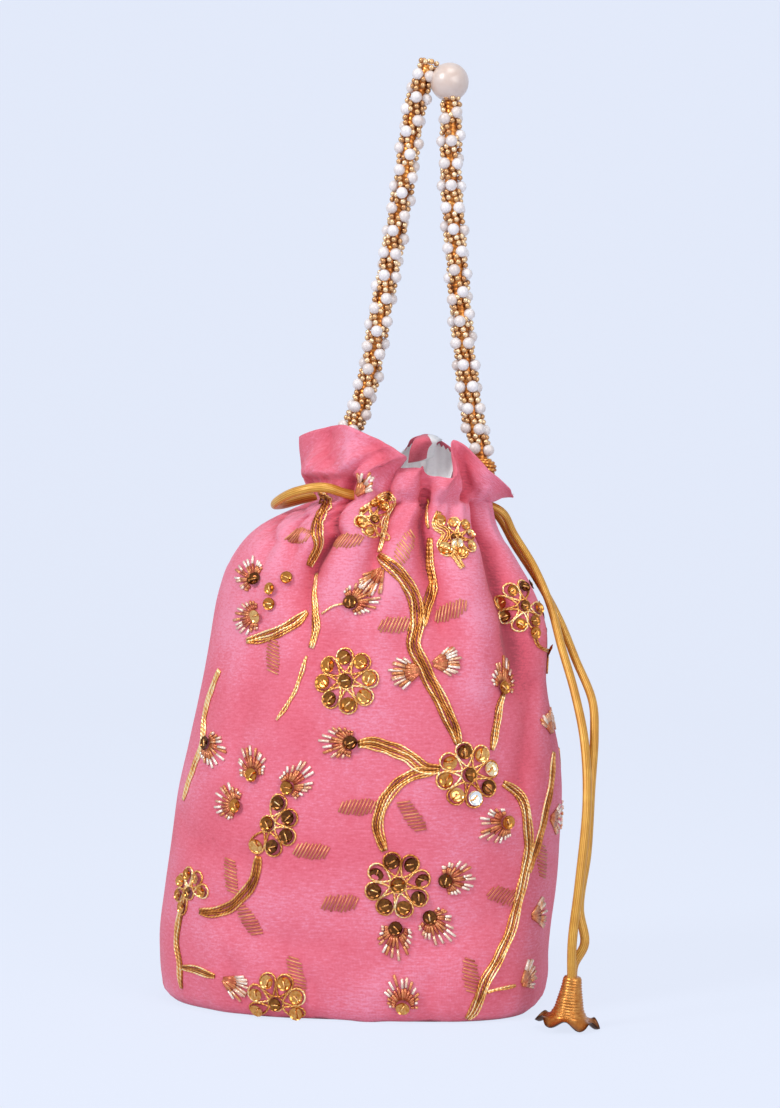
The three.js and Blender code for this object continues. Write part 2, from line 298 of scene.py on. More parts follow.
def stretchNode(tree, vector, scale):
    return addNode(tree, "ShaderNodeMapping", [("Vector", vector)], Scale=scale).outputs["Vector"]


def uvNode(tree):
    return addNode(tree, "ShaderNodeUVMap", uv_map="UVMap").outputs["UV"]


def toneNode(tree):
    return addNode(tree, "ShaderNodeAttribute", attribute_name="tone").outputs["Fac"]


def placeNode(tree):
    return addNode(tree, "ShaderNodeTexCoord").outputs["Object"]


def colorBy(tree, bsdf, source, stops):
    ramp = addNode(tree, "ShaderNodeValToRGB", [("Fac", source)])
    band = ramp.color_ramp
    while len(band.elements) < len(stops):
        band.elements.new(0.5)
    for element, (place, color) in zip(band.elements, stops):
        element.position = place
        element.color = (*color, 1)
    tree.links.new(ramp.outputs["Color"], bsdf.inputs["Base Color"])


def addBump(tree, bsdf, height, strength, distance):
    bump = addNode(tree, "ShaderNodeBump", [("Height", height)], Strength=strength, Distance=distance)
    tree.links.new(bump.outputs["Normal"], bsdf.inputs["Normal"])


# a wave node of scale tau / 20 has one band for each unit of its vector
oneBand = tau / 20


# plain weave on a UV in millimetres: warp and weft ribs, slubs along the weft and a mottled dye, shifted by
# the painted fold shade in the tone attribute (darker in creases, lighter on ridges)
def clothMaterial(name, dark, mid, light, threadPitch, roughness, ribs, paintedFoldShade=0.33, shadedDarkShare=0.62):
    material, tree, bsdf = newMaterial(name, mid, roughness, Sheen_Weight=0.12, Sheen_Roughness=0.5)
    uv = uvNode(tree)
    warp, weft = (waveNode(tree, uv, bands_direction=way, Scale=oneBand / threadPitch, Distortion=1.2,
                           Detail=2.0, Detail_Scale=2.0) for way in "XY")
    slub = noiseNode(tree, stretchNode(tree, uv, (0.35, 1.1, 1)), Scale=1.0, Detail=3.0)
    mottle = noiseNode(tree, uv, Scale=1.1, Detail=4.0, Roughness=0.7)
    broad = noiseNode(tree, uv, Scale=0.035, Detail=2.0)
    dye = mathNode(tree, "ADD", mathNode(tree, "ADD", mottle, slub), broad)
    third = mathNode(tree, "MULTIPLY", dye, 1 / 3)
    total = mathNode(tree, "MULTIPLY_ADD", toneNode(tree), paintedFoldShade, third)
    # the darkest stop is painted shade, reached only in the deepest creases
    shadedDark = tuple(shadedDarkShare * c for c in dark)
    colorBy(tree, bsdf, total, [(0.2, shadedDark), (0.36, dark), (0.5, mid), (0.64, light)])
    addBump(tree, bsdf, mathNode(tree, "ADD", warp, weft), ribs, distance=0.0002)
    return material


# gold thread and metal: tone runs dark to bright, with glints from a fine noise
def toneMaterial(name, stops, roughness, metallic, grain, strength, glint=0.4, **sockets):
    material, tree, bsdf = newMaterial(name, stops[0][1], roughness, metallic, **sockets)
    noise = noiseNode(tree, placeNode(tree), Scale=grain, Detail=2.0)
    shift = mathNode(tree, "MULTIPLY_ADD", noise, glint, -glint / 2)
    colorBy(tree, bsdf, mathNode(tree, "ADD", toneNode(tree), shift), stops)
    addBump(tree, bsdf, noise, strength, distance=0.0003)
    return material


# twisted thread on a UV: slanting ribs round the cord, also painted into the colour as light on their
# crests and shade in their grooves, and patches of brighter and darker thread
def twistMaterial(name, stops, roughness, metallic, turn, pitch, strength, patches, ribShading=0.45):
    material, tree, bsdf = newMaterial(name, stops[0][1], roughness, metallic)
    slant = stretchNode(tree, uvNode(tree), (turn, 1 / pitch, 1))
    ribs = waveNode(tree, slant, bands_direction="DIAGONAL", Scale=oneBand, Distortion=0.6, Detail=1.0)
    mix = mathNode(tree, "MULTIPLY_ADD", ribs, ribShading, -ribShading / 2)
    ribbed = mathNode(tree, "ADD", toneNode(tree), mix)
    drift = noiseNode(tree, placeNode(tree), Scale=160.0, Detail=2.0)
    centred = mathNode(tree, "SUBTRACT", drift, 0.5)
    colorBy(tree, bsdf, mathNode(tree, "MULTIPLY_ADD", centred, patches, ribbed), stops)
    addBump(tree, bsdf, ribs, strength, distance=0.0004)
    return material


pinkCloth = clothMaterial("pinkCloth", (0.68, 0.094, 0.142), (0.745, 0.15, 0.218), (0.80, 0.26, 0.37),
                          threadPitch=0.5, roughness=0.8, ribs=0.3)
whiteSatin = clothMaterial("whiteSatin", (0.86, 0.86, 0.88), (0.92, 0.92, 0.935), (0.95, 0.95, 0.96),
                           threadPitch=0.4, roughness=0.45, ribs=0.1)
goldCord = twistMaterial(
    "goldCord", [(0.15, (0.42, 0.15, 0.01)), (0.5, (0.56, 0.245, 0.022)), (0.85, (0.76, 0.44, 0.08))],
    roughness=0.4, metallic=0.2, turn=30, pitch=40, strength=0.12, patches=0.6)
zariThread = twistMaterial(
    "zariThread", [(0.08, (0.22, 0.055, 0.008)), (0.5, (0.58, 0.195, 0.03)), (0.85, (0.94, 0.53, 0.165)),
                   (1.0, (1.0, 0.80, 0.44))],
    roughness=0.28, metallic=0.7, turn=3, pitch=0.9, strength=0.3, patches=1.15, ribShading=0.25)
# the foil's low, dark bronze tones are painted reflection: they stand in for dark surroundings mirrored in
# the gold sequins
sequinFoil = toneMaterial(
    "sequinFoil", [(0.1, (0.12, 0.04, 0.012)), (0.45, (0.56, 0.215, 0.04)), (0.75, (0.93, 0.64, 0.26)),
                   (0.95, (0.86, 0.88, 0.85))],
    roughness=0.14, metallic=0.95, grain=900, strength=0.1)
bugleGlass = toneMaterial(
    "bugleGlass", [(0.1, (0.50, 0.105, 0.04)), (0.45, (0.70, 0.27, 0.09)), (0.8, (0.93, 0.77, 0.64))],
    roughness=0.2, metallic=0.35, grain=700, strength=0.1)
leafThread = toneMaterial(
    "leafThread", [(0.1, (0.50, 0.12, 0.06)), (0.5, (0.66, 0.225, 0.10)), (0.9, (0.84, 0.42, 0.19))],
    roughness=0.4, metallic=0.35, grain=800, strength=0.1)
bellGold = toneMaterial(
    "bellGold", [(0.0, (0.06, 0.022, 0.01)), (0.5, (0.43, 0.14, 0.022)), (0.9, (0.82, 0.43, 0.12))],
    roughness=0.3, metallic=0.8, grain=600, strength=0.3)
goldBead = toneMaterial(
    "goldBead", [(0.1, (0.42, 0.17, 0.06)), (0.5, (0.66, 0.38, 0.17)), (0.9, (0.90, 0.67, 0.42))],
    roughness=0.2, metallic=0.7, grain=500, strength=0.05)
pearlCoat = toneMaterial(
    "pearlCoat", [(0.1, (0.60, 0.45, 0.37)), (0.5, (0.70, 0.615, 0.58)), (0.9, (0.80, 0.76, 0.765))],
    roughness=0.3, metallic=0.0, grain=220, strength=0.03, Coat_Weight=0.8, Coat_Roughness=0.32)
print("materials ready")


def finishPiece(piece, material, body, slot, *nodes):
    piece.data.materials.append(material)
    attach(piece, body)
    if nodes:
        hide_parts(*nodes)


# the pouch's sections in millimetres: height, half width, half depth, lean to the right

pouch = dict(
    z=[0, 3, 9, 22, 47, 85, 110, 135, 160, 173, 186, 200, 211],
    width=[76, 79.6, 82.0, 83.0, 83.2, 81.4, 78.0, 75.0, 72.0, 66.6, 58.4, 46.5, 33.5],
    depth=[46.5, 49.4, 51.0, 52.0, 52, 50.8, 48.6, 45.6, 41.6, 38.4, 34.5, 28, 20.5],
    lean=[0, 0, 0, 0, 3, 7, 9, 10.4, 12.2, 11.2, 9.8, 12.0, 21], neckZ=211, middle=0.02, columns=360,
    frillRows=26, thickness=0.0005, square=0.15, squareZ=(4, 70), girth=430,
)


# drawstring: both tails hang from the right of the neck to the bell, with a loop at the left

drawstring = dict(
    diameter=0.0042, flat=0.82, step=0.0016, sides=14, channelWidth=28.5, channelDepth=14, tone=0.55,
    tilt=0.35,
)
# the route of the CAD cord in mm, with its two ends sunk into the bell's crown
frontTail = [
    (98.5, -49.1, 18.3), (98.8, -50.2, 35), (101.2, -48, 57), (103.6, -40.6, 90), (101.6, -31.6, 113),
    (96.6, -21.8, 132), (89.6, -11, 151.2), (83.8, -0.6, 167.4), (76, 6.6, 183), (67.6, 7.4, 196.4),
    (62.8, 3.4, 206),
]
leftLoop = [
    (3, -17, 213), (-8, -22.8, 216.1), (-20, -21, 214.2), (-31, -8.6, 209.5), (-31.4, 8, 208.8),
    (-21, 19, 211.6), (-5, 17.2, 213),
]
backTail = [
    (57.8, 14.6, 206), (67.4, 14.4, 191.2), (77.2, 11.4, 177), (87.2, 2.6, 161.2), (95.2, -8, 145.4),
    (103.4, -18.6, 128.8), (104.9, -25.4, 116), (104.4, -33.6, 95), (103.6, -40.6, 70), (101, -44.3, 48),
    (103.2, -45.1, 34), (98.9, -45.5, 25.2), (98.5, -46.5, 17.9),
]
# in its channel the cord lies a few mm further in than the CAD's, because the gathers press on it
frontChannel = (-6, -20, -36, -63, -90)
backChannel = (112, 84, 58, 40)


def channelPoint(degrees):
    x, y = circle(np.radians(degrees)) * (drawstring["channelWidth"], drawstring["channelDepth"])
    return pouch["lean"][-1] + x, y, pouch["neckZ"]


def makeDrawstring():
    front = [channelPoint(d) for d in frontChannel]
    back = [channelPoint(d) for d in backChannel]
    route = np.concatenate([frontTail, front, leftLoop, back, backTail])
    path = evenCurve(route, drawstring["step"] / mm) * mm
    outward = unit((path - (pouch["middle"], 0, 0)) * (1, 1, 0))
    tubes = Tubes()
    tubes.add(path, drawstring["diameter"] / 2, drawstring["sides"], outward + (0, 0, drawstring["tilt"]),
              tone=drawstring["tone"], flat=drawstring["flat"])
    return tubes.piece("drawstringCord"), path


cordPiece, cordPath = makeDrawstring()
finishPiece(cordPiece, goldCord, "bag", "gold_cord", "drawstring")
print("drawstring ready")


# flower bell: a ribbed cone under a round crown, flaring into a rim of curled petals

bellShape = dict(
    x=0.0965, y=-0.0478, height=0.0200, tilt=6.5, clear=0.0001, rows=120, columns=96, wall=0.0009,
    inset=0.0004, crownRows=12, petals=6, petalOut=0.0008, petalDip=0.0016, flare=(0.66, 1.0),
    ribPitch=0.0011, ribDepth=0.00014, ribStart=(0.08, 0.2), ribEnd=(0.72, 0.86), outsideTone=0.58,
    insideShadeTone=0.12, rimShadeDepth=0.55, rimShadeRows=16, knots=[0, 0.10, 0.22, 0.45, 0.68, 0.82, 0.92, 1.0],
    radius=[0.0032, 0.0037, 0.0040, 0.0051, 0.0064, 0.0085, 0.0110, 0.0124],
    drop=[0, 0.0010, 0.0035, 0.0090, 0.0138, 0.0167, 0.0179, 0.0177],
)


def makeBell():
    s = bellShape
    t = np.linspace(0, 1, s["rows"])[:, None]
    a = anglesOf(s["columns"])[None, :]
    radius, drop = (smoothThrough(t, s["knots"], s[key]) for key in ("radius", "drop"))
    ribbed = smoothstep(t, *s["ribStart"]) * (1 - smoothstep(t, *s["ribEnd"]))
    petal = smoothstep(t, *s["flare"]) * np.cos(s["petals"] * a)
    radius = radius + s["ribDepth"] * np.cos(tau * drop / s["ribPitch"]) * ribbed + s["petalOut"] * petal
    z = s["height"] - drop - s["petalDip"] * petal
    outer, inner = (np.stack([(radius - wall) * np.cos(a), (radius - wall) * np.sin(a), z - inset], -1)
                    for wall, inset in ((0, 0), (s["wall"], s["inset"])))
    skin = np.concatenate([outer, inner[::-1][:-s["crownRows"]]])
    rows, columns = skin.shape[:2]
    c, i = circle(np.radians(s["tilt"]))
    verts = skin.reshape(-1, 3) @ np.array([[c, 0, -i], [0, 1, 0], [i, 0, c]])
    verts = verts + (s["x"], s["y"], s["clear"] - verts[:, 2].min())
    quads, _ = gridFaces(rows, columns, wrap=True)
    faces = quads[:, ::-1].tolist() + [rowFace(0, columns), rowFace(rows - 1, columns)[::-1]]
    # painted shade: the inside of the bell is drawn near black, and a band round the rim's lip darker still
    row = np.arange(rows)
    edge = np.exp(-((row - s["rows"]) / s["rimShadeRows"]) ** 2)
    tone = np.where(row < s["rows"], s["outsideTone"], s["insideShadeTone"]) - s["rimShadeDepth"] * edge
    return makePiece("flowerBell", verts, faces, tone=np.repeat(tone, columns))


bellPiece = makeBell()
finishPiece(bellPiece, bellGold, "bag", "bell_gold", "drawstring_bell")


# outer cloth: oval sections, gathered into pleats at the neck, and a frill lofted to a drawn hem

folds = dict(
    neckWidth=2.9, spread=0.085, fullness=4.6, fullZ=(150, 206), sharpness=1.4, fadeBelow=14, fadeAbove=34,
    easeZ=(196, 211), ease=0.35, fineCount=41, fineDepth=0.5, fineSway=1.7, fineZ=(190, 207),
    wrinkleDepth=0.75, wrinkleCount=30, wrinkleWaves=(2, 12), wrinkleRise=(30, 110), wrinkleWeight=(0.3, 1),
    evenWaves=3, wrinkleLowZ=(0, 14), wrinkleHighZ=(165, 195), footCount=37, footDepth=0.45, footFall=7,
    footZ=(0, 3), shadeDepth=8, neckPaintedLight=0.4, neckPaintedLightZ=(130, 195), shadeLimits=(-1, 0.45),
)
# creases round the back, with the ranges of their lower ends, drift and depth
backCreases = dict(
    count=8, angles=(0.16, 3.0), lowZ=(112, 165), topZ=212, drift=0.09, lean=0.1, depth=(5.0, 9.0),
)
# creases that run down from the neck: pixels along each, then its depth in mm
creases = [
    ([(352, 475), (345, 505), (336, 532), (318, 560), (306, 592), (299, 632)], 10.4),
    ([(322, 490), (308, 516), (296, 548), (286, 590)], 5.2),
    ([(388, 476), (394, 504), (384, 530), (374, 560), (366, 604)], 9.0),
    ([(408, 480), (405, 506), (403, 534)], 5.4),
    ([(424, 476), (425, 510), (425, 540), (430, 578), (437, 626)], 10.4),
    ([(447, 480), (448, 512), (446, 546)], 5.6),
    ([(463, 470), (470, 500), (486, 545), (500, 590), (514, 640), (526, 700)], 9.6),
    ([(489, 508), (508, 534), (530, 582)], 2.0),
    ([(298, 508), (276, 540), (256, 588)], 4.6),
]
# the frill's hem as seen in the photograph: pixel across, pixel down, depth behind the bag's middle in mm
hemFront = [
    (299, 437, -2), (318, 429, -12), (345, 425, -20), (372, 437, -25), (396, 449, -28), (409, 457, -27),
    (404, 463, -20), (398, 469, -18), (424, 467, -23), (429, 475, -18), (456, 476, -21), (453, 440, -15),
    (475, 456, -16), (499, 482, -13), (513, 497, -4),
]
hemBack = [
    (512, 497, -4), (500, 488, 12), (478, 480, 20), (456, 452, 22), (440, 440, 23), (425, 435, 20),
    (411, 439, 18), (404, 452, 20), (385, 450, 24), (355, 442, 22), (325, 441, 14), (299, 437, -2),
]
# finer creases and ridges pressed into the finished surface: pixels along each, depth and width in mm
pressed = [
    ([(328, 438), (324, 452), (330, 462)], 2.6, 5.0), ([(352, 433), (349, 448), (347, 462)], -1.8, 4.0),
    ([(376, 446), (381, 458), (385, 468)], 3.0, 4.2), ([(398, 472), (402, 482), (406, 492)], -1.4, 3.4),
    ([(424, 470), (425, 486), (424, 504)], 2.6, 2.6), ([(440, 478), (442, 494)], -1.4, 3.0),
    ([(462, 456), (464, 474), (470, 490)], 1.8, 3.6), ([(484, 474), (486, 488), (492, 498)], -1.6, 4.0),
    ([(532, 690), (527, 735), (520, 785)], 2.0, 5.0), ([(410, 575), (404, 610), (402, 650)], 1.3, 6.0),
    ([(465, 600), (476, 640), (480, 690)], -1.4, 7.0), ([(262, 640), (246, 700), (236, 760)], 1.6, 8.0),
    ([(330, 640), (312, 700), (306, 760)], 1.1, 7.0), ([(215, 905), (260, 935), (320, 945)], 1.2, 7.0),
    ([(430, 945), (470, 930), (520, 905)], 1.1, 7.0), ([(180, 820), (205, 850), (240, 860)], 1.0, 6.0),
    ([(310, 985), (316, 1000), (318, 1016)], 1.3, 4.0), ([(430, 985), (426, 1002), (428, 1018)], 1.2, 4.0),
    ([(370, 990), (368, 1004), (366, 1018)], -1.0, 5.0), ([(228, 965), (236, 985), (240, 1003)], 1.4, 4.5),
]
pressing = dict(step=6, sharpness=1.6, shadeDepth=7, shadeLimits=(-1, 0.3))


def wrinkles(across, up):
    total = np.zeros(np.broadcast(across, up).shape)
    for _ in range(folds["wrinkleCount"]):
        waves = rng.integers(*folds["wrinkleWaves"])
        rise = rng.uniform(-1, 1) * tau / rng.uniform(*folds["wrinkleRise"])
        weight = rng.uniform(*folds["wrinkleWeight"]) / np.sqrt(waves / folds["evenWaves"])
        total += weight * np.sin(waves * across + rise * up + rng.uniform(0, tau))
    return total / np.sqrt(folds["wrinkleCount"])


# the bottom is squarer towards the front right
def squareness(theta):
    return pouch["square"] * np.sin(2 * theta) ** 2 * np.maximum(np.cos(theta + np.pi / 4), 0)


def ovalSections(theta, z):
    width, depth, lean = (smoothThrough(z, pouch["z"], pouch[key]) for key in ("width", "depth", "lean"))
    square = 1 + squareness(theta) * (1 - smoothstep(z, *pouch["squareZ"]))
    x, y = lean + square * width * np.cos(theta), square * depth * np.sin(theta)
    normal = unit(np.stack([np.cos(theta) / width, np.sin(theta) / depth, 0 * theta * z], -1))
    girth = np.hypot(width * np.sin(theta), depth * np.cos(theta))
    return np.stack([x, y, z + 0 * theta], -1), normal, girth


# the listed creases as angle against height, and evenly strewn ones round the back
def creaseLines(theta, z):
    point, normal, _ = ovalSections(theta, z)
    find = seenFinder(point * mm, normal)
    lines = []
    for pixels, depth in creases:
        rows, columns = np.array(find(pixels[::-1])).T
        lines.append((theta[0, columns], z[rows, 0], depth))
    b = backCreases
    for angle in np.linspace(*b["angles"], b["count"]):
        end = rng.uniform(*b["lowZ"])
        drift = rng.uniform(-b["drift"], b["drift"]) + b["lean"] * np.cos(angle)
        angles, heights = np.array([angle - drift, angle]), np.array([end, b["topZ"]])
        lines.append((angles, heights, rng.uniform(*b["depth"])))
    return lines


# outward offset: fullness near the neck less each crease's valley, exp(-(gap / width) ^ sharpness), wider
# lower down, with fine ripples at the neck, wrinkles on the body and puckers along the bottom seam;
# it also returns the painted shade for the cloth's colour
def bodyGrid(theta, z):
    f = folds
    point, normal, girth = ovalSections(theta, z)
    full = f["fullness"] * smoothstep(z, *f["fullZ"])
    width = f["neckWidth"] + f["spread"] * np.maximum(f["fullZ"][1] - z, 0)
    ease = 1 - f["ease"] * smoothstep(z, *f["easeZ"])
    offset = full + 0 * theta
    for angles, heights, depth in creaseLines(theta, z):
        line = np.interp(z, heights, angles)
        gap = np.abs((theta - line + np.pi) % tau - np.pi) * girth
        fade = smoothstep(z, heights[0] - f["fadeBelow"], heights[0] + f["fadeAbove"])
        offset = offset - depth * fade * ease * np.exp(-(gap / width) ** f["sharpness"])
    ripple = f["fineDepth"] * np.sin(f["fineCount"] * theta + f["fineSway"] * np.sin(3 * theta))
    onBody = smoothstep(z, *f["wrinkleLowZ"]) * (1 - smoothstep(z, *f["wrinkleHighZ"]))
    pucker = f["footDepth"] * np.sin(f["footCount"] * theta + 2 * np.sin(5 * theta))
    offset = offset + ripple * smoothstep(z, *f["fineZ"]) + f["wrinkleDepth"] * onBody * wrinkles(theta, z)
    offset = offset + pucker * np.exp(-z / f["footFall"]) * smoothstep(z, *f["footZ"])
    # painted shade: the colour darkens where the surface dips into crease valleys, and painted light makes
    # it lighter towards the neck
    paintedShade = (offset - full) / f["shadeDepth"] + f["neckPaintedLight"] * smoothstep(z, *f["neckPaintedLightZ"])
    return point + offset[..., None] * normal, np.clip(paintedShade, *f["shadeLimits"])


# the hem round the mouth, front from left to right and then the back, as a loop over the angle
def hemCurve(theta):
    front, back = (np.array([atDepth(px, py, d * mm) for px, py, d in side]) / mm
                   for side in (hemFront, hemBack))
    frontRun, backRun = (run / run[-1] for run in (runAlong(front, 0.5), runAlong(back, 0.5)))
    knots = np.concatenate([np.pi + np.pi * frontRun, tau + np.pi * backRun[1:]])
    loop = np.concatenate([front, back[1:]])
    around = np.where(theta < np.pi, theta + tau, theta)
    wide = np.concatenate([knots[-4:-1] - tau, knots, knots[1:4] + tau])
    return smoothThrough(around, wide, np.concatenate([loop[-4:-1], loop, loop[1:4]]))


frill = dict(
    lowRows=[0.4, 1.2, 2.4, 4], bodyRows=(6, 116, 44), neckRows=(118, pouch["neckZ"], 54), rise=0.42,
    shallow=0.7, belly=2.0, leftBelly=7.0, leftWidth=0.55, rightBelly=7.0, rightWidth=0.17, rightDrop=0.75,
    flapFrom=(3.2, 3.5), flapTo=(4.25, 4.6), lipZ=212.5, flapRise=6.5, lip=1.6, flapLip=3.6,
    lipBelow=(0, 3), lipAbove=(4.5, 17), fade=1.5, shadow=0.4, shadowBelow=(-7, 0), shadowAbove=(0, 4.5),
)


# the frill is a quadratic curve from the neck to the hem, bellied outwards, with a lip above the cord
def makeCloth():
    f = frill
    theta = anglesOf(pouch["columns"])
    z = np.concatenate([f["lowRows"], np.linspace(*f["bodyRows"]), np.linspace(*f["neckRows"])])
    body, paintedShade = bodyGrid(theta[None, :], z[:, None])
    neck = body[-1]
    hem = hemCurve(theta)
    t = np.linspace(0, 1, pouch["frillRows"] + 1)[1:, None, None]
    outward = np.stack([np.cos(theta), f["shallow"] * np.sin(theta), 0 * theta], -1)
    right = np.exp(-(np.sin(theta / 2) / f["rightWidth"]) ** 2)
    left = np.exp(-((theta - np.pi) / f["leftWidth"]) ** 2)
    belly = (f["belly"] + f["leftBelly"] * left + f["rightBelly"] * right)[:, None] * outward
    lift = f["rise"] * np.linalg.norm(hem - neck, axis=1) * (1 - f["rightDrop"] * right)
    rise = lift[:, None] * np.array([0, 0, 1])
    edge = (1 - t) ** 2 * neck + 2 * t * (1 - t) * (neck + rise + belly) + t * t * hem
    flap = smoothstep(theta, *f["flapFrom"]) * (1 - smoothstep(theta, *f["flapTo"]))
    above = edge[..., 2] - f["lipZ"] - f["flapRise"] * flap
    lip = smoothstep(above, *f["lipBelow"]) * (1 - smoothstep(above, *f["lipAbove"]))
    edge = edge + ((f["lip"] + f["flapLip"] * flap) * lip)[..., None] * outward
    # painted shade on the frill: the fold shade fades towards the hem, and a painted shadow darkens the
    # cloth just under the left flap's lip
    shadow = (1 - smoothstep(above, *f["shadowAbove"])) * smoothstep(above, *f["shadowBelow"])
    frillPaintedShade = paintedShade[-1] * (1 - t[..., 0]) ** f["fade"] - f["shadow"] * flap * shadow
    return np.concatenate([body, edge]) * mm, np.concatenate([paintedShade, frillPaintedShade])


# the surface moves along its normal by -depth * exp(-(distance to the line / width) ^ sharpness)
def pressLines(grid, paintedShade):
    normals = gridNormals(grid)
    find = seenFinder(grid, normals)
    offset = np.zeros(grid.shape[:2])
    for pixels, depth, width in pressed:
        places = np.array([grid[spot] for spot in find(evenCurve(pixels, pressing["step"]))])
        near = np.min(np.linalg.norm(grid[:, :, None] - places, axis=-1), axis=2) / mm
        offset -= depth * np.exp(-(near / width) ** pressing["sharpness"])
    # painted shade: pressed creases also darken the colour and pressed ridges lighten it
    paintedShade = np.clip(paintedShade + offset / pressing["shadeDepth"], *pressing["shadeLimits"])
    return grid + normals * offset[..., None] * mm, paintedShade


clothGrid, paintedClothShade = pressLines(*makeCloth())
rowCount, columnCount = clothGrid.shape[:2]


def clothPiece(name, grid, paintedShade, thickness):
    quads, corners = gridFaces(len(grid), grid.shape[1], wrap=True)
    up = np.concatenate([[0], np.cumsum(np.linalg.norm(np.diff(grid, axis=0), axis=2).mean(1))]) / mm
    uv = np.stack([corners[..., 0] * (pouch["girth"] / grid.shape[1]), up[corners[..., 1]]], -1)
    return addWall(makePiece(name, grid.reshape(-1, 3), quads, uv.reshape(-1, 2), paintedShade), thickness)


outerCloth = clothPiece("outerCloth", clothGrid, paintedClothShade, pouch["thickness"])
finishPiece(outerCloth, pinkCloth, "bag", "pink_cloth", "front_panel", "back_panel")
print("outer cloth ready")


# the lining follows the cloth along normals averaged over its neighbours, and stands in at the neck
lining = dict(
    gap=0.0018, thinner=0.45, thickness=0.0004, neckWidth=0.0252, neckDepth=0.0108, hold=(3.2, 8),
    reachBack=0.93, shorter=0.36, front=(0.05, -0.2), smoothColumns=9, smoothRows=6, skipRows=3,
    teeth=0.0007, toothColumns=4, paintedShade=0.25,
)


def makeLining():
    s = lining
    reach = s["smoothColumns"]
    normals = sum(np.roll(gridNormals(clothGrid), k, axis=1) for k in range(-reach, reach + 1))
    rowsAbove = range(s["smoothRows"])
    normals = sum(np.concatenate([normals[k:], np.repeat(normals[-1:], k, 0)]) for k in rowsAbove)
    neckRow = rowCount - 1 - pouch["frillRows"]
    height = np.maximum(np.arange(rowCount) - neckRow, 0) / pouch["frillRows"]
    inside = clothGrid - unit(normals) * (s["gap"] * (1 - s["thinner"] * height))[:, None, None]
    column = np.arange(columnCount)
    front = smoothstep(np.sin(anglesOf(columnCount)), *s["front"])
    row = np.arange(rowCount)[:, None] - 0 * column
    row = np.where(row > neckRow, neckRow + (row - neckRow) * (s["reachBack"] - front * s["shorter"]), row)
    low = np.minimum(np.floor(row).astype(int), rowCount - 2)
    share = (row - low)[..., None]
    inside = ((1 - share) * inside[low, column] + share * inside[low + 1, column])[s["skipRows"]:]
    middle = np.array([pouch["lean"][-1] * mm, 0])
    flat = inside[..., :2] - middle
    outside = np.hypot(flat[..., 0] / s["neckWidth"], flat[..., 1] / s["neckDepth"])
    steps = np.linalg.norm(np.diff(inside, axis=0, prepend=inside[:1]), axis=2) / mm
    inFrill = np.arange(len(inside))[:, None] > neckRow - s["skipRows"]
    frillRun = np.cumsum(np.where(inFrill, steps, 0), axis=0)
    fromNeck = np.where(frillRun > 0, frillRun, np.abs(inside[..., 2] / mm - pouch["neckZ"]))
    near = 1 - smoothstep(fromNeck, *s["hold"])
    flat = flat * (1 - near * (1 - np.minimum(1, 1 / outside)))[..., None]
    inside[..., :2] = flat + middle
    half = s["toothColumns"] // 2
    teeth = (np.abs(column % s["toothColumns"] - half) - half / 2) * (column < columnCount / 2)
    inside[-1] += unit(inside[-1] - inside[-2]) * teeth[:, None] * s["teeth"]
    # painted shade: the lining takes a quarter of the cloth's painted fold shade
    return inside, paintedClothShade[s["skipRows"]:] * s["paintedShade"]


liningPiece = clothPiece("satinLining", *makeLining(), lining["thickness"])
finishPiece(liningPiece, whiteSatin, "bag", "white_satin", "lining")
print("lining ready")


# a corner of the back hem folds forward over the mouth: pixels and depths in mm of a 4 x 4 net
foldedTab = dict(rows=18, columns=16, thickness=0.0007, tone=-0.15, liningReach=4.5, liningBack=1.2)
tabNet = [[(408, 463, 15), (415, 462, 14), (423, 460, 14), (429, 457, 15)],
          [(410, 450, 11), (417, 449, 9), (424, 448, 9), (430, 448, 11)],
          [(414, 440, 11), (421, 438, 9), (428, 438, 9), (434, 441, 11)],
          [(417, 437, 19), (424, 434, 20), (431, 435, 21), (438, 439.5, 22.5)]]


def tabPiece(name, reach=0, back=0):
    shift = np.linspace(0, reach, len(tabNet))
    net = np.array([[atDepth(px + s, py, (d + back) * mm) for s, (px, py, d) in zip(shift, row)]
                    for row in tabNet])
    knots = np.linspace(0, 1, len(tabNet))
    for count in (foldedTab["rows"], foldedTab["columns"]):
        net = smoothThrough(np.linspace(0, 1, count), knots, net).transpose(1, 0, 2)
    quads, corners = gridFaces(*net.shape[:2])
    # painted shade: the folded tab and its lining are drawn a little darker than the open cloth
    tone = np.full(net.shape[:2], foldedTab["tone"])
    piece = makePiece(name, net.reshape(-1, 3), quads, corners.reshape(-1, 2), tone)
    return addWall(piece, foldedTab["thickness"])


foldPiece = tabPiece("foldedHem")
finishPiece(foldPiece, pinkCloth, "bag", "pink_cloth")
foldLining = tabPiece("foldedHemLining", foldedTab["liningReach"], foldedTab["liningBack"])
finishPiece(foldLining, whiteSatin, "bag", "white_satin")
print("folded hem ready")


# embroidery: every motif is placed by its pixel in the photograph and follows the cloth's own grid

clothNormals = gridNormals(clothGrid)
clothSkin = np.concatenate([clothGrid, clothNormals], -1)
findOnCloth = seenFinder(clothGrid, clothNormals)
tracing = dict(rounds=4, reach=0.25, leastArea=0.02, longestStep=1.5)


# place and normal on the cloth at spots of the grid: column and row, with fractions
def onCloth(spots):
    a, b = spots[..., 0] % columnCount, np.clip(spots[..., 1], 0, rowCount - 1.001)
    c, r = np.floor(a).astype(int) % columnCount, np.floor(b).astype(int)
    u, v, n = (a - np.floor(a))[..., None], (b - r)[..., None], (c + 1) % columnCount
    skin = ((1 - v) * ((1 - u) * clothSkin[r, c] + u * clothSkin[r, n])
            + v * ((1 - u) * clothSkin[r + 1, c] + u * clothSkin[r + 1, n]))
    return skin[..., :3], unit(skin[..., 3:])


def placeAt(spots):
    return onCloth(spots)[0]


def pixelAt(spots):
    return toPixel(placeAt(spots))


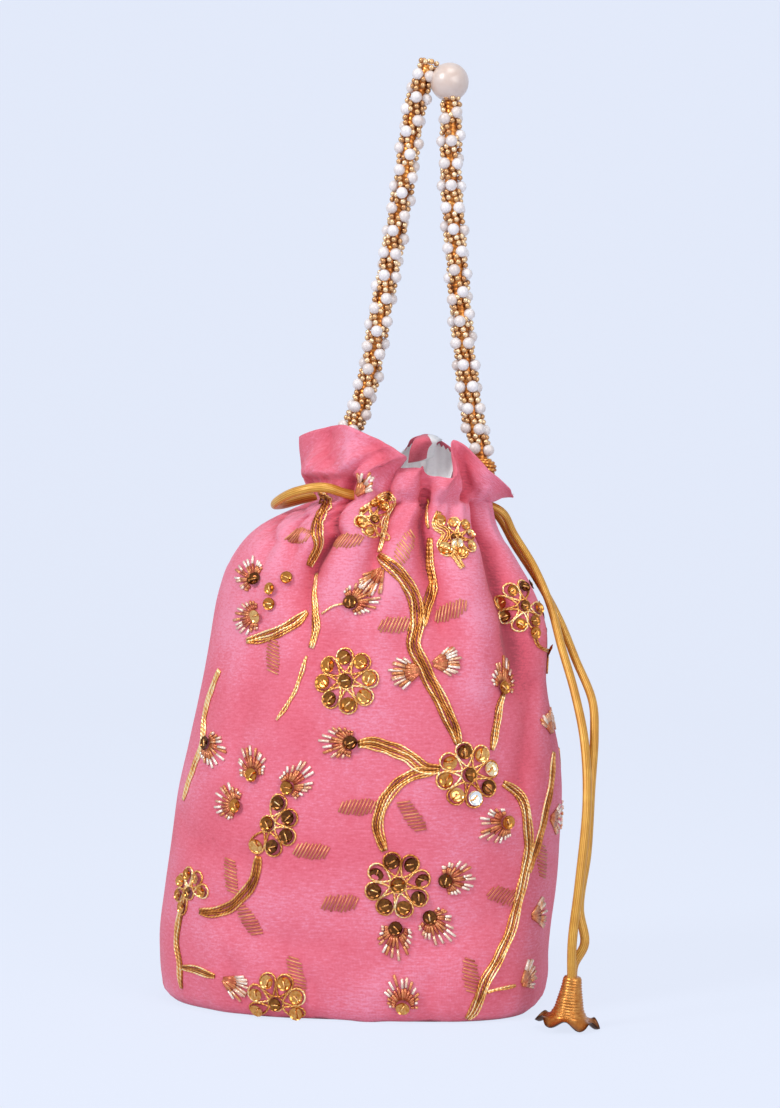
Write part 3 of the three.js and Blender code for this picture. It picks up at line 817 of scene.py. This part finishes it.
# what a measure changes by across a column of the grid and up a row of it
def slopes(measure, spots, reach=0.5):
    return [measure(spots + step) - measure(spots - step) for step in reach * np.eye(2)]


# the spots seen at pixels: the nearest facing corner of the grid, then a few Newton steps
def spotsAt(pixels):
    pixels = np.asarray(pixels, float)
    spots = np.array(findOnCloth(pixels), float)[:, ::-1]
    for _ in range(tracing["rounds"]):
        across, up = slopes(pixelAt, spots, tracing["reach"])
        miss = pixels - pixelAt(spots)
        area = across[:, 0] * up[:, 1] - across[:, 1] * up[:, 0]
        area = np.where(np.abs(area) < tracing["leastArea"], tracing["leastArea"], area)
        step = np.stack([miss[:, 0] * up[:, 1] - miss[:, 1] * up[:, 0],
                         across[:, 0] * miss[:, 1] - across[:, 1] * miss[:, 0]], -1) / area[:, None]
        step = step * 2 * tracing["reach"]
        spots = spots + np.clip(step, -tracing["longestStep"], tracing["longestStep"])
    return spots


# a step of millimetres across and up the cloth, taken along its surface
def stepped(spots, step):
    spots, step = np.broadcast_arrays(np.asarray(spots, float), np.asarray(step, float))
    across, up = slopes(placeAt, spots)
    right = unit(across)
    move = mm * (step[..., :1] * right + step[..., 1:] * np.cross(onCloth(spots)[1], right))
    aa, ab, bb = dot(across, across), dot(across, up), dot(up, up)
    ma, mb = dot(move, across), dot(move, up)
    return spots + np.stack([bb * ma - ab * mb, aa * mb - ab * ma], -1) / (aa * bb - ab * ab)[..., None]


# the back carries the same work, mirrored
def bothSides(spots):
    return [spots, np.stack([columnCount - spots[..., 0], spots[..., 1]], -1)]


zariCords, sequinSpots, barEnds = Tubes(), [], {"bugle": [], "stitch": []}
thread = dict(
    radius=0.00043, lift=0.00036, uneven=0.00014, pitch=1.02, sides=6, step=1.3, fewestSteps=6, sway=0.2,
    swayLength=(1.4, 3.2), taper=0.45, taperLength=4, tones=[0.3, 0.55, 0.7, 0.85, 0.95],
)


def addCord(spots, tone, radius=thread["radius"], lift=thread["lift"]):
    for side in bothSides(spots):
        place, normal = onCloth(side)
        zariCords.add(place + normal * lift, radius, thread["sides"], normal, tone)


def addSequin(spot, tone, size):
    sequinSpots.extend((s, tone, size) for s in bothSides(np.asarray(spot, float)))


def addBars(kind, starts, ends, tones):
    for a, b in zip(bothSides(starts), bothSides(ends)):
        barEnds[kind].append((a, b, tones))


# a band of couched cords side by side, drawing together at its two ends
def addBand(pixels, cords):
    knots = spotsAt(pixels)
    knots[:, 0] = np.unwrap(knots[:, 0], period=columnCount)
    run = runAlong(placeAt(knots)) / mm
    at = np.linspace(0, run[-1], max(int(run[-1] / thread["step"]), thread["fewestSteps"]))
    line = smoothThrough(at, run, knots)
    place, normal = onCloth(line)
    sideways = np.cross(normal, unit(np.gradient(place, axis=0)))
    right = unit(slopes(placeAt, line)[0])
    upward = np.cross(normal, right)
    ends = np.exp(-at / thread["taperLength"]) + np.exp(-(run[-1] - at) / thread["taperLength"])
    pitch = thread["pitch"] * (1 - (1 - thread["taper"]) * ends)
    for k in range(cords):
        sway = thread["sway"] * np.sin(at / rng.uniform(*thread["swayLength"]) + rng.uniform(0, tau))
        shift = ((k - (cords - 1) / 2) * pitch + sway)[:, None]
        step = shift * np.stack([dot(sideways, right), dot(sideways, upward)], -1)
        tone = rng.choice(thread["tones"])
        addCord(stepped(line, step), tone, lift=thread["lift"] + rng.uniform(-1, 1) * thread["uneven"])


# a flower: a sequin in the middle and eight in teardrop loops of cord around it
flowerShape = dict(
    petals=8, middle=2.9, middleTone=0.2, disc=3.05, reach=9.6, loopMiddle=8.3, loopHalf=5.0, loopWidth=4.5,
    loopGap=0.06, loopPoints=30, loopThread=1.1, loopTones=(0.55, 0.9), lowest=0.0014,
    discTones=[0.08, 0.12, 0.15, 0.2, 0.45], ring=3.3, ringPoints=26, ringTone=0.7, ringThread=0.95,
)


def addFlower(pixel, turn, size=1.0, skip=(), tones=None):
    f = flowerShape
    center = spotsAt([pixel])[0]
    addSequin(center, f["middleTone"], f["middle"] * size)
    s = np.linspace(f["loopGap"], tau - f["loopGap"], f["loopPoints"])
    out = size * (f["loopMiddle"] - f["loopHalf"] * np.cos(s))
    wide = size * f["loopWidth"] * np.sin(s) * np.sin(s / 2)
    for k in range(f["petals"]):
        if k in skip:
            continue
        ray = circle(turn + k / f["petals"] * tau)
        across = np.array([-ray[1], ray[0]])
        loop = stepped(center, out[:, None] * ray + wide[:, None] * across)
        if placeAt(loop)[:, 2].min() < f["lowest"]:
            continue
        addCord(loop, rng.uniform(*f["loopTones"]), thread["radius"] * f["loopThread"])
        tone = tones[k] if tones else rng.choice(f["discTones"])
        addSequin(stepped(center, f["reach"] * size * ray), tone, f["disc"] * size)
    ring = f["ring"] * size * circle(np.linspace(0, tau, f["ringPoints"]))
    addCord(stepped(center, ring), f["ringTone"], thread["radius"] * f["ringThread"])


# a sprig: bugle beads fan out from a sequin, or from one point, longest ahead of it, and each of the two
# kinds has its number of rays, their spread in degrees and their start in mm
sprigShape = dict(
    aroundSequin=(15, 88, 3.1), fromPoint=(12, 36, 1.0), disc=2.9, uneven=4, shortest=5.4, longer=7.4,
    narrow=0.7, reachRange=(0.9, 1.08), split=0.52, gap=0.3, innerTones=(0.05, 0.45),
    outerTones=(0.35, 0.95),
)


def addSprig(pixel, heading, tone):
    s = sprigShape
    center = spotsAt([pixel])[0]
    rays, spread, start = s["fromPoint"] if tone is None else s["aroundSequin"]
    if tone is not None:
        addSequin(center, tone, s["disc"])
    swing = np.radians(np.linspace(-spread, spread, rays) + rng.uniform(-s["uneven"], s["uneven"], rays))
    ray = circle(np.radians(heading) + swing)
    reach = (s["shortest"] + s["longer"] * np.cos(swing * s["narrow"]) ** 4)[:, None]
    reach = reach * rng.uniform(*s["reachRange"], (rays, 1))
    middle = start + s["split"] * (reach - start)
    for near, far, tones in ((start, middle, s["innerTones"]), (middle + s["gap"], reach, s["outerTones"])):
        addBars("bugle", stepped(center, near * ray), stepped(center, far * ray), rng.uniform(*tones, rays))


# a leaf of slanting stitches, a little shorter at its two ends
leafShape = dict(
    length=13.0, width=7.4, stitches=10, slant=66, shorter=0.3, widthRange=(0.82, 1.1), toneRange=0.25,
)


def addLeaf(pixel, heading, tone):
    s = leafShape
    center = spotsAt([pixel])[0]
    share = np.linspace(-1, 1, s["stitches"])[:, None]
    full = 0.5 * s["width"] * (1 - s["shorter"] * np.abs(share) ** 4)
    full = full * rng.uniform(*s["widthRange"], (s["stitches"], 1))
    middle = 0.5 * s["length"] * share * circle(np.radians(heading))
    half = full * circle(np.radians(heading + s["slant"]))
    tones = np.clip(tone + rng.uniform(-s["toneRange"], s["toneRange"], s["stitches"]), 0, 1)
    addBars("stitch", stepped(center, middle - half), stepped(center, middle + half), tones)


# bands: pixels along each, then its cords, one more where there are over two
bands = [
    ([(379, 556), (398, 572), (414, 597), (417, 622), (414, 645), (424, 668), (436, 692), (449, 718),
      (458, 744)], 5),
    ([(431, 538), (430, 560), (433, 582), (427, 606), (422, 626)], 4),
    ([(440, 769), (424, 768), (409, 757), (389, 748), (367, 743), (358, 744)], 5),
    ([(436, 771), (415, 774), (396, 786), (382, 806), (378, 830), (385, 851)], 4),
    ([(492, 750), (496, 728), (499, 708), (503, 694)], 3),
    ([(503, 783), (520, 796), (527, 822), (528, 850), (522, 884), (513, 922), (500, 955), (484, 985),
      (467, 1018)], 4),
    ([(553, 752), (551, 780), (545, 812), (537, 845), (528, 872)], 3),
    ([(319, 492), (321, 515), (318, 540), (309, 566)], 4),
    ([(317, 574), (315, 600), (316, 630), (311, 648)], 3),
    ([(307, 656), (298, 684), (287, 706), (277, 720)], 2),
    ([(247, 641), (268, 636), (290, 626), (308, 612)], 4),
    ([(220, 670), (212, 690), (205, 716), (203, 742), (194, 768), (184, 800)], 3),
    ([(259, 856), (254, 880), (240, 899), (222, 911), (200, 912)], 4),
    ([(188, 884), (181, 912), (177, 940), (180, 965), (182, 988)], 3),
    ([(183, 967), (200, 971), (215, 976)], 3),
    ([(487, 992), (502, 988), (515, 986)], 2),
    ([(322, 614), (333, 606), (345, 604)], 1),
    ([(361, 515), (375, 502), (388, 495), (389, 512), (384, 534), (380, 552)], 3),
    ([(439, 512), (436, 526), (446, 533), (441, 546), (451, 552), (463, 568)], 3),
    ([(532, 630), (537, 644), (539, 660), (538, 672)], 2),
    ([(428, 500), (427, 514), (429, 528)], 2),
]
flowers = [
    dict(pixel=(346, 681), turn=0.1, tones=[0.5, 0.42, 0.3, 0.4, 0.4, 0.2, 0.3, 0.5]),
    dict(pixel=(469, 775), turn=0.2, tones=[0.8, 0.55, 0.15, 0.5, 0.45, 0.55, 1.0, 0.12]),
    dict(pixel=(398, 885), turn=0.25),
    dict(pixel=(268, 824), turn=0.3, skip=(2, 3, 4), tones=[0.1, 0.12, 0.2, 0.2, 0.2, 0.55, 0.12, 0.1]),
    dict(pixel=(276, 1004), turn=0.35, tones=[0.5, 0.48, 0.55, 0.5, 0.5, 0.5, 0.5, 0.5], size=0.95),
    dict(pixel=(524, 606), turn=0.6, size=0.8, skip=(0,), tones=[0.4, 0.1, 0.3, 0.5, 0.2, 0.4, 0.3, 0.4]),
    dict(pixel=(456, 538), turn=0.2, size=0.7, skip=(3, 4),
         tones=[0.75, 0.5, 0.6, 0.4, 0.4, 0.7, 0.5, 0.6]),
    dict(pixel=(374, 520), turn=0.9, size=0.66, skip=(6, 7),
         tones=[0.5, 0.45, 0.6, 0.5, 0.5, 0.4, 0.4, 0.4]),
    dict(pixel=(190, 893), turn=0.2, size=0.8, skip=(6, 7),
         tones=[0.45, 0.5, 0.4, 0.5, 0.4, 0.5, 0.4, 0.4]),
]
# sprigs: pixel, heading in degrees, and the sequin's tone or None where it has no sequin
sprigs = [
    (255, 580, 150, 0.1), (257, 616, 188, 0.6), (350, 603, 25, 0.15), (351, 743, 176, 0.1),
    (422, 671, 184, None), (431, 664, 8, None), (502, 688, 68, 0.4), (445, 881, 14, 0.1),
    (429, 917, -48, 0.1), (396, 928, -96, 0.08), (507, 822, 195, 0.45), (551, 735, 95, None),
    (207, 743, -30, 0.1), (403, 1007, 90, 0.5), (520, 985, 25, None), (530, 917, 5, None),
    (253, 775, 100, 0.4), (288, 788, 42, 0.3), (237, 806, 160, 0.4), (222, 978, -25, None),
    (384, 568, 238, None), (357, 497, 60, None), (549, 818, -8, None),
]
# leaves: pixel, heading in degrees and tone
leaves = [
    (357, 807, 180, 0.45), (412, 816, -58, 0.4), (340, 903, 180, 0.3), (311, 851, -5, 0.6),
    (231, 876, 100, 0.45), (249, 920, -55, 0.4), (296, 974, 100, 0.45), (471, 976, 95, 0.3),
    (504, 896, 160, 0.3), (299, 536, 175, 0.4), (346, 541, 180, 0.5), (405, 547, 60, 0.75),
    (397, 625, 180, 0.75), (451, 611, 18, 0.65), (273, 656, 95, 0.45), (542, 861, 95, 0.35),
]
# single sequins: pixel and tone
looseSequins = [
    (287, 578, 0.42), (271, 589, 0.45), (270, 604, 0.4), (457, 545, 0.8), (440, 521, 0.5), (444, 549, 0.6),
    (379, 503, 0.6), (362, 524, 0.5), (534, 633, 0.4), (538, 648, 0.45),
]
looseSize = 2.6
for pixels, cords in bands:
    addBand(pixels, cords + (cords > 2))
for settings in flowers:
    addFlower(**settings)
for px, py, heading, tone in sprigs:
    addSprig((px, py), heading, tone)
for px, py, heading, tone in leaves:
    addLeaf((px, py), heading, tone)
for px, py, tone in looseSequins:
    addSequin(spotsAt([(px, py)])[0], tone, looseSize)


# a sequin is a cupped disc with a hole, its rings given as radius and height, sewn on by one stitch
sewnSequin = dict(
    sides=12, rings=[(0.16, 0.10), (0.55, 0.04), (0.86, 0.16), (1.0, 0.30)], lift=0.0007, tilt=0.16,
    stitchLift=0.0016, stitchShare=0.5, stitchRadius=0.0003, stitchTone=0.85,
)
barSides = 6


def sequinShape():
    sides, rings = sewnSequin["sides"], sewnSequin["rings"]
    verts = [np.column_stack([r * circle(anglesOf(sides)), np.full(sides, h)]) for r, h in rings]
    return np.concatenate(verts), gridFaces(len(rings), sides, wrap=True)[0][:, ::-1].tolist()


# a bar is a rod along its first axis, closed at both ends
def barShape():
    ends = [np.column_stack([np.full(barSides, x), circle(anglesOf(barSides))]) for x in (-1, 1)]
    quads, _ = gridFaces(2, barSides, wrap=True)
    return np.concatenate(ends), quads.tolist() + [rowFace(0, barSides)[::-1], rowFace(1, barSides)]


def sequinPieces():
    s = sewnSequin
    spots, tones, sizes = (np.array(column) for column in zip(*sequinSpots))
    sizes = sizes * mm
    place, normal = onCloth(spots)
    right = unit(slopes(placeAt, spots)[0])
    tilt = unit(normal + s["tilt"] * rng.normal(size=normal.shape))
    right = unit(right - tilt * dot(right, tilt)[:, None])
    up = np.cross(tilt, right)
    discs = stampPiece("sequins", *sequinShape(), place + normal * s["lift"], sizes[:, None], tones,
                       np.stack([right, up, tilt], -1))
    swing = rng.uniform(0, np.pi, len(spots))[:, None]
    along = np.cos(swing) * right + np.sin(swing) * up
    rods = np.column_stack([sizes * s["stitchShare"], np.full((len(sizes), 2), s["stitchRadius"])])
    frames = np.stack([along, np.cross(normal, along), normal], -1)
    stitches = stampPiece("sequinStitches", *barShape(), place + normal * s["stitchLift"], rods,
                          np.full(len(spots), s["stitchTone"]), frames)
    return discs, stitches


def barPiece(name, rods, radius, lift):
    starts, ends, tones = (np.concatenate([rod[i] for rod in rods]) for i in range(3))
    (a, normalA), (b, normalB) = onCloth(starts), onCloth(ends)
    normal = unit(normalA + normalB)
    along = unit(b - a)
    side = unit(np.cross(normal, along))
    half = np.linalg.norm(b - a, axis=1) / 2
    frames = np.stack([along, side, np.cross(along, side)], -1)
    scales = np.column_stack([half, np.full((len(half), 2), radius)])
    return stampPiece(name, *barShape(), (a + b) / 2 + normal * lift, scales, tones, frames)


flowerNodes = [f"{side}_flower_{i}" for side in ("front", "back") for i in range(1, 5)]
finishPiece(zariCords.piece("zariCords"), zariThread, "bag", "zari_gold", *flowerNodes)
sequinPiece, stitchPiece = sequinPieces()
finishPiece(sequinPiece, sequinFoil, "bag", "zari_gold")
finishPiece(stitchPiece, zariThread, "bag", "zari_gold")
buglePiece = barPiece("bugleBeads", barEnds["bugle"], radius=0.0006, lift=0.0005)
finishPiece(buglePiece, bugleGlass, "bag", "zari_gold")
leafPiece = barPiece("leafStitches", barEnds["stitch"], radius=0.00036, lift=0.0003)
finishPiece(leafPiece, leafThread, "bag", "zari_gold")
print("embroidery ready")


# oval panels of the base: rings from the middle to the rim, closed below and above
baseOval = dict(rings=10, columns=96, middle=0.05)


def ovalPiece(name, halfWidth, halfDepth, low, high):
    rings, columns = baseOval["rings"], baseOval["columns"]
    outwards = np.linspace(baseOval["middle"], 1, rings)
    share = np.concatenate([outwards, outwards[::-1]])[:, None]
    level = np.repeat([low, high], rings)[:, None]
    a = anglesOf(columns)[None, :]
    share = share * (1 + squareness(a))
    skin = np.stack([halfWidth * share * np.cos(a), halfDepth * share * np.sin(a), level + 0 * a], -1)
    quads, _ = gridFaces(2 * rings, columns, wrap=True)
    ends = [rowFace(0, columns)[::-1], rowFace(2 * rings - 1, columns)]
    flat = skin.reshape(-1, 3)
    uv = flat[np.concatenate([quads.ravel(), np.ravel(ends)])][:, :2] / mm
    return makePiece(name, flat, quads.tolist() + ends, uv)


basePiece = ovalPiece("basePanel", halfWidth=0.0746, halfDepth=0.0444, low=0.0, high=0.0014)
finishPiece(basePiece, pinkCloth, "bag", "pink_cloth", "base_panel")
liningFloor = ovalPiece("liningFloor", halfWidth=0.0750, halfDepth=0.0448, low=0.0019, high=0.0025)
finishPiece(liningFloor, whiteSatin, "bag", "white_satin", "lining_base")
print("base ready")


# handle: two legs, each of four twisted strands of pearls and gold beads and four of gold beads alone

handle = dict(
    strands=4, offset=0.0038, inner=0.0034, pitch=0.078, step=0.0005, stagger=0.0006, pearl=0.00248,
    bead=0.0012, pearlTones=(0.4, 0.85), beadTones=(0.25, 0.9), bigPearl=0.0080, bigTone=0.22, core=0.0027,
    coreSides=12, coreTone=0.35, coreTrim=5, coreStride=4, pearlBall=(6, 12), beadBall=(5, 8),
    bigBall=(32, 48),
)
# pixels along the middle of each leg, from its knot to the top, and of the big pearl
leftLeg = [
    (341, 462), (344, 446), (356, 418), (370, 374), (380, 315), (394, 242), (405, 176), (413, 118),
    (418, 96), (423.5, 79), (428.5, 67), (431.5, 58),
]
rightLeg = [
    (481, 462), (480, 446), (473, 418), (467, 374), (461, 315), (455.5, 242), (451, 176), (451, 130),
    (451, 92),
]
pearlPixel = (449.5, 82)
depthAxis = np.array([0, 1.0, 0])


# a unit ball as rings of points between two poles
def ball(rings, sides):
    polar = (np.arange(1, rings) / rings * np.pi)[:, None]
    a = anglesOf(sides)
    belt = np.stack([np.sin(polar) * np.cos(a), np.sin(polar) * np.sin(a), np.cos(polar) + 0 * a], -1)
    belt = belt.reshape(-1, 3)
    verts = np.concatenate([belt, [[0, 0, 1], [0, 0, -1]]])
    quads, _ = gridFaces(rings - 1, sides, wrap=True)
    last = (rings - 2) * sides
    top = [[len(belt), i, (i + 1) % sides] for i in range(sides)]
    low = [[len(belt) + 1, last + (i + 1) % sides, last + i] for i in range(sides)]
    return verts, quads[:, ::-1].tolist() + top + low


# each strand winds round its leg: leg + offset * (cos * normal + sin * depth)
def strandPath(leg, turn, offset):
    flat = evenCurve([atDepth(px, py, 0) for px, py in leg], handle["step"])
    normal = unit(np.cross(unit(np.gradient(flat, axis=0)), depthAxis))
    angle = (turn + np.arange(len(flat)) * handle["step"] / handle["pitch"] * tau)[:, None]
    return flat + offset * (np.cos(angle) * normal + np.sin(angle) * depthAxis)


def makeHandle():
    h = handle
    pearls, beads, core = [], [], Tubes()
    gap = h["pearl"] + h["bead"]
    period = 2 * gap + 2 * h["bead"]
    for leg in (leftLeg, rightLeg):
        middle = strandPath(leg, 0, 0)[:-h["coreTrim"]:h["coreStride"]]
        core.add(middle, h["core"], h["coreSides"], depthAxis, h["coreTone"])
        for index in range(2 * h["strands"]):
            withPearls = index % 2 == 0
            path = strandPath(leg, index / h["strands"] * np.pi, h["offset"] if withPearls else h["inner"])
            length = runAlong(path)[-1]
            at = np.arange(h["pearl"] + index * h["stagger"], length - h["pearl"], period)
            gold = np.concatenate([at + gap, at + gap + 2 * h["bead"]])
            beads.append(alongPath(path, gold[gold < length - h["bead"]]))
            if withPearls:
                pearls.append(alongPath(path, at))
    pearls, beads = np.concatenate(pearls), np.concatenate(beads)
    pearlPiece = stampPiece("strandPearls", *ball(*h["pearlBall"]), pearls, h["pearl"],
                            rng.uniform(*h["pearlTones"], len(pearls)))
    beadPiece = stampPiece("strandBeads", *ball(*h["beadBall"]), beads, h["bead"],
                           rng.uniform(*h["beadTones"], len(beads)))
    return pearlPiece, beadPiece, core.piece("strandCore")


pearlPiece, beadPiece, corePiece = makeHandle()
strandNodes = [f"{side}_strand_{i}" for side in ("left", "right") for i in range(1, 5)]
finishPiece(pearlPiece, pearlCoat, "handle", "pearl", *strandNodes)
finishPiece(beadPiece, goldBead, "handle", "bead_strand")
finishPiece(corePiece, zariThread, "handle", "bead_strand")
bigPearl = stampPiece("bigPearl", *ball(*handle["bigBall"]), [atDepth(*pearlPixel, 0)],
                      handle["bigPearl"], [handle["bigTone"]])
finishPiece(bigPearl, pearlCoat, "handle", "pearl", "handle_pearl")
print("handle ready")


# knots: thread wound over a ball, angle = 2 * turns * polar and height = cos(polar), in two crossing layers
knot = dict(turns=9, thread=0.00075, sides=8, points=260, poleGap=0.12, layerStep=0.12)


def makeKnots():
    wound = Tubes()
    polar = np.linspace(knot["poleGap"], np.pi - knot["poleGap"], knot["points"])[:, None]
    for node, leg in (("handle_knot_left", leftLeg), ("handle_knot_right", rightLeg)):
        low, high = (np.array(corner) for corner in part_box(node))
        center, half = (low + high) / 2, (high - low) / 2 - knot["thread"]
        center[0] = atDepth(*leg[0], 0)[0]
        for layer, sense in enumerate((1, -1)):
            around = circle(sense * knot["turns"] * 2 * polar[:, 0])
            ray = np.column_stack([np.sin(polar) * around, np.cos(polar)])
            path = center + ray * half * (1 - knot["layerStep"] * layer)
            wound.add(path, knot["thread"], knot["sides"], ray)
    return wound.piece("threadKnots")


finishPiece(makeKnots(), zariThread, "handle", "pink_cloth", "handle_knot_left", "handle_knot_right")

# tabs: a short ribbon from the lining at each side up to the knot, its path in x and z in mm
ribbon = dict(width=0.010, thickness=0.0008, rows=24, columns=10, cup=0.0012)
ribbonPaths = {"handle_tab_left": [(-4.0, 203), (-3.4, 209), (-4.4, 215), (-8.2, 220.5), (-8.4, 225)],
               "handle_tab_right": [(46.0, 203), (45.6, 209), (47.2, 215), (52.2, 220.5), (52.4, 225)]}


def ribbonPiece(name, path):
    line = smoothThrough(np.linspace(0, 1, ribbon["rows"]), np.linspace(0, 1, len(path)), path) * mm
    across = np.linspace(-1, 1, ribbon["columns"])
    x = line[:, :1] + ribbon["cup"] * across ** 2 * np.sign(line[:, :1] - pouch["middle"])
    grid = np.stack(np.broadcast_arrays(x, ribbon["width"] / 2 * across, line[:, 1:]), -1)
    quads, corners = gridFaces(*grid.shape[:2])
    uv = corners.reshape(-1, 2) * (ribbon["width"] / mm / ribbon["columns"], 1.0)
    piece = makePiece(name, grid.reshape(-1, 3), quads, uv, np.zeros(grid.shape[:2]))
    return addWall(piece, ribbon["thickness"], offset=0)


for node, path in ribbonPaths.items():
    piece = ribbonPiece(node.replace("handle_tab_", "ribbonTab"), path)
    finishPiece(piece, whiteSatin, "bag", "pink_cloth", node)
print("knots and tabs ready")


# floor and backdrop in one sweep, and soft light from three sides

stage = dict(
    color=(0.791, 0.847, 0.982, 1), flat=0.9, glow=1.01, roughness=0.9, specular=0.1, halfWidth=3.0,
    front=-3.0, near=-0.5, bend=1.4, radius=0.8, top=2.2, floorPoints=8, arcPoints=16,
    skyColor=(0.9, 0.93, 1.0, 1), skyLight=0.36,
)
# place, size in metres and power in watts
lamps = dict(
    keyLight=((-0.95, -1.1, 1.15), 0.55, 16.5), fillLight=((1.1, -1.2, 0.6), 1.0, 8.5),
    topLight=((0.25, -0.5, 1.5), 0.8, 6),
)
lampAim = (0.01, 0, 0.18)


# 1 for a ray from the camera, off a mirror or through glass
def seenRays(tree):
    path = addNode(tree, "ShaderNodeLightPath").outputs
    shiny = mathNode(tree, "MAXIMUM", path["Is Glossy Ray"], path["Is Transmission Ray"])
    return mathNode(tree, "MAXIMUM", path["Is Camera Ray"], shiny)


# a shader that is first where the share is 0 and second where it is 1
def mixShaders(tree, share, first, second, output):
    links = [("Fac", share), (1, first.outputs[0]), (2, second.outputs[0])]
    mix = addNode(tree, "ShaderNodeMixShader", links)
    tree.links.new(mix.outputs[0], tree.nodes[output].inputs["Surface"])


def makeWorld():
    world = bpy.data.worlds.new("studio")
    world.use_nodes = True
    tree = world.node_tree
    soft = tree.nodes["Background"]
    soft.inputs["Color"].default_value = stage["skyColor"]
    soft.inputs["Strength"].default_value = stage["skyLight"]
    pale = addNode(tree, "ShaderNodeBackground", Strength=1.0, Color=stage["color"])
    mixShaders(tree, seenRays(tree), soft, pale, "World Output")
    bpy.context.scene.world = world


def makeStage():
    s = stage
    arc = np.linspace(0, np.pi / 2, s["arcPoints"])[1:]
    floorY = np.concatenate([[s["front"]], np.linspace(s["near"], s["bend"], s["floorPoints"])])
    wallY = s["bend"] + s["radius"] * np.append(np.sin(arc), 1)
    y = np.concatenate([floorY, wallY])[:, None]
    z = np.concatenate([0 * floorY, s["radius"] * (1 - np.cos(arc)), [s["top"]]])[:, None]
    x = np.array([-s["halfWidth"], s["halfWidth"]])
    sweep = np.stack(np.broadcast_arrays(x, y, z), -1)
    floor = makePiece("floor", sweep.reshape(-1, 3), gridFaces(len(y), 2)[0])
    material, tree, bsdf = newMaterial("paleFloor", s["color"][:3], s["roughness"],
                                       Specular_IOR_Level=s["specular"])
    glow = addNode(tree, "ShaderNodeEmission", Strength=s["glow"], Color=s["color"])
    share = mathNode(tree, "MULTIPLY", seenRays(tree), s["flat"])
    mixShaders(tree, share, bsdf, glow, "Material Output")
    floor.data.materials.append(material)


def areaLight(name, place, size, power):
    data = bpy.data.lights.new(name, "AREA")
    data.shape = "DISK"
    data.size = size
    data.energy = power
    lamp = bpy.data.objects.new(name, data)
    lamp.location = place
    lamp.rotation_euler = (Vector(lampAim) - Vector(place)).to_track_quat("-Z", "Y").to_euler()
    bpy.context.scene.collection.objects.link(lamp)


makeStage()
for name, settings in lamps.items():
    areaLight(name, *settings)
makeWorld()
bpy.context.scene.view_settings.view_transform = "Standard"

print("scene ready")
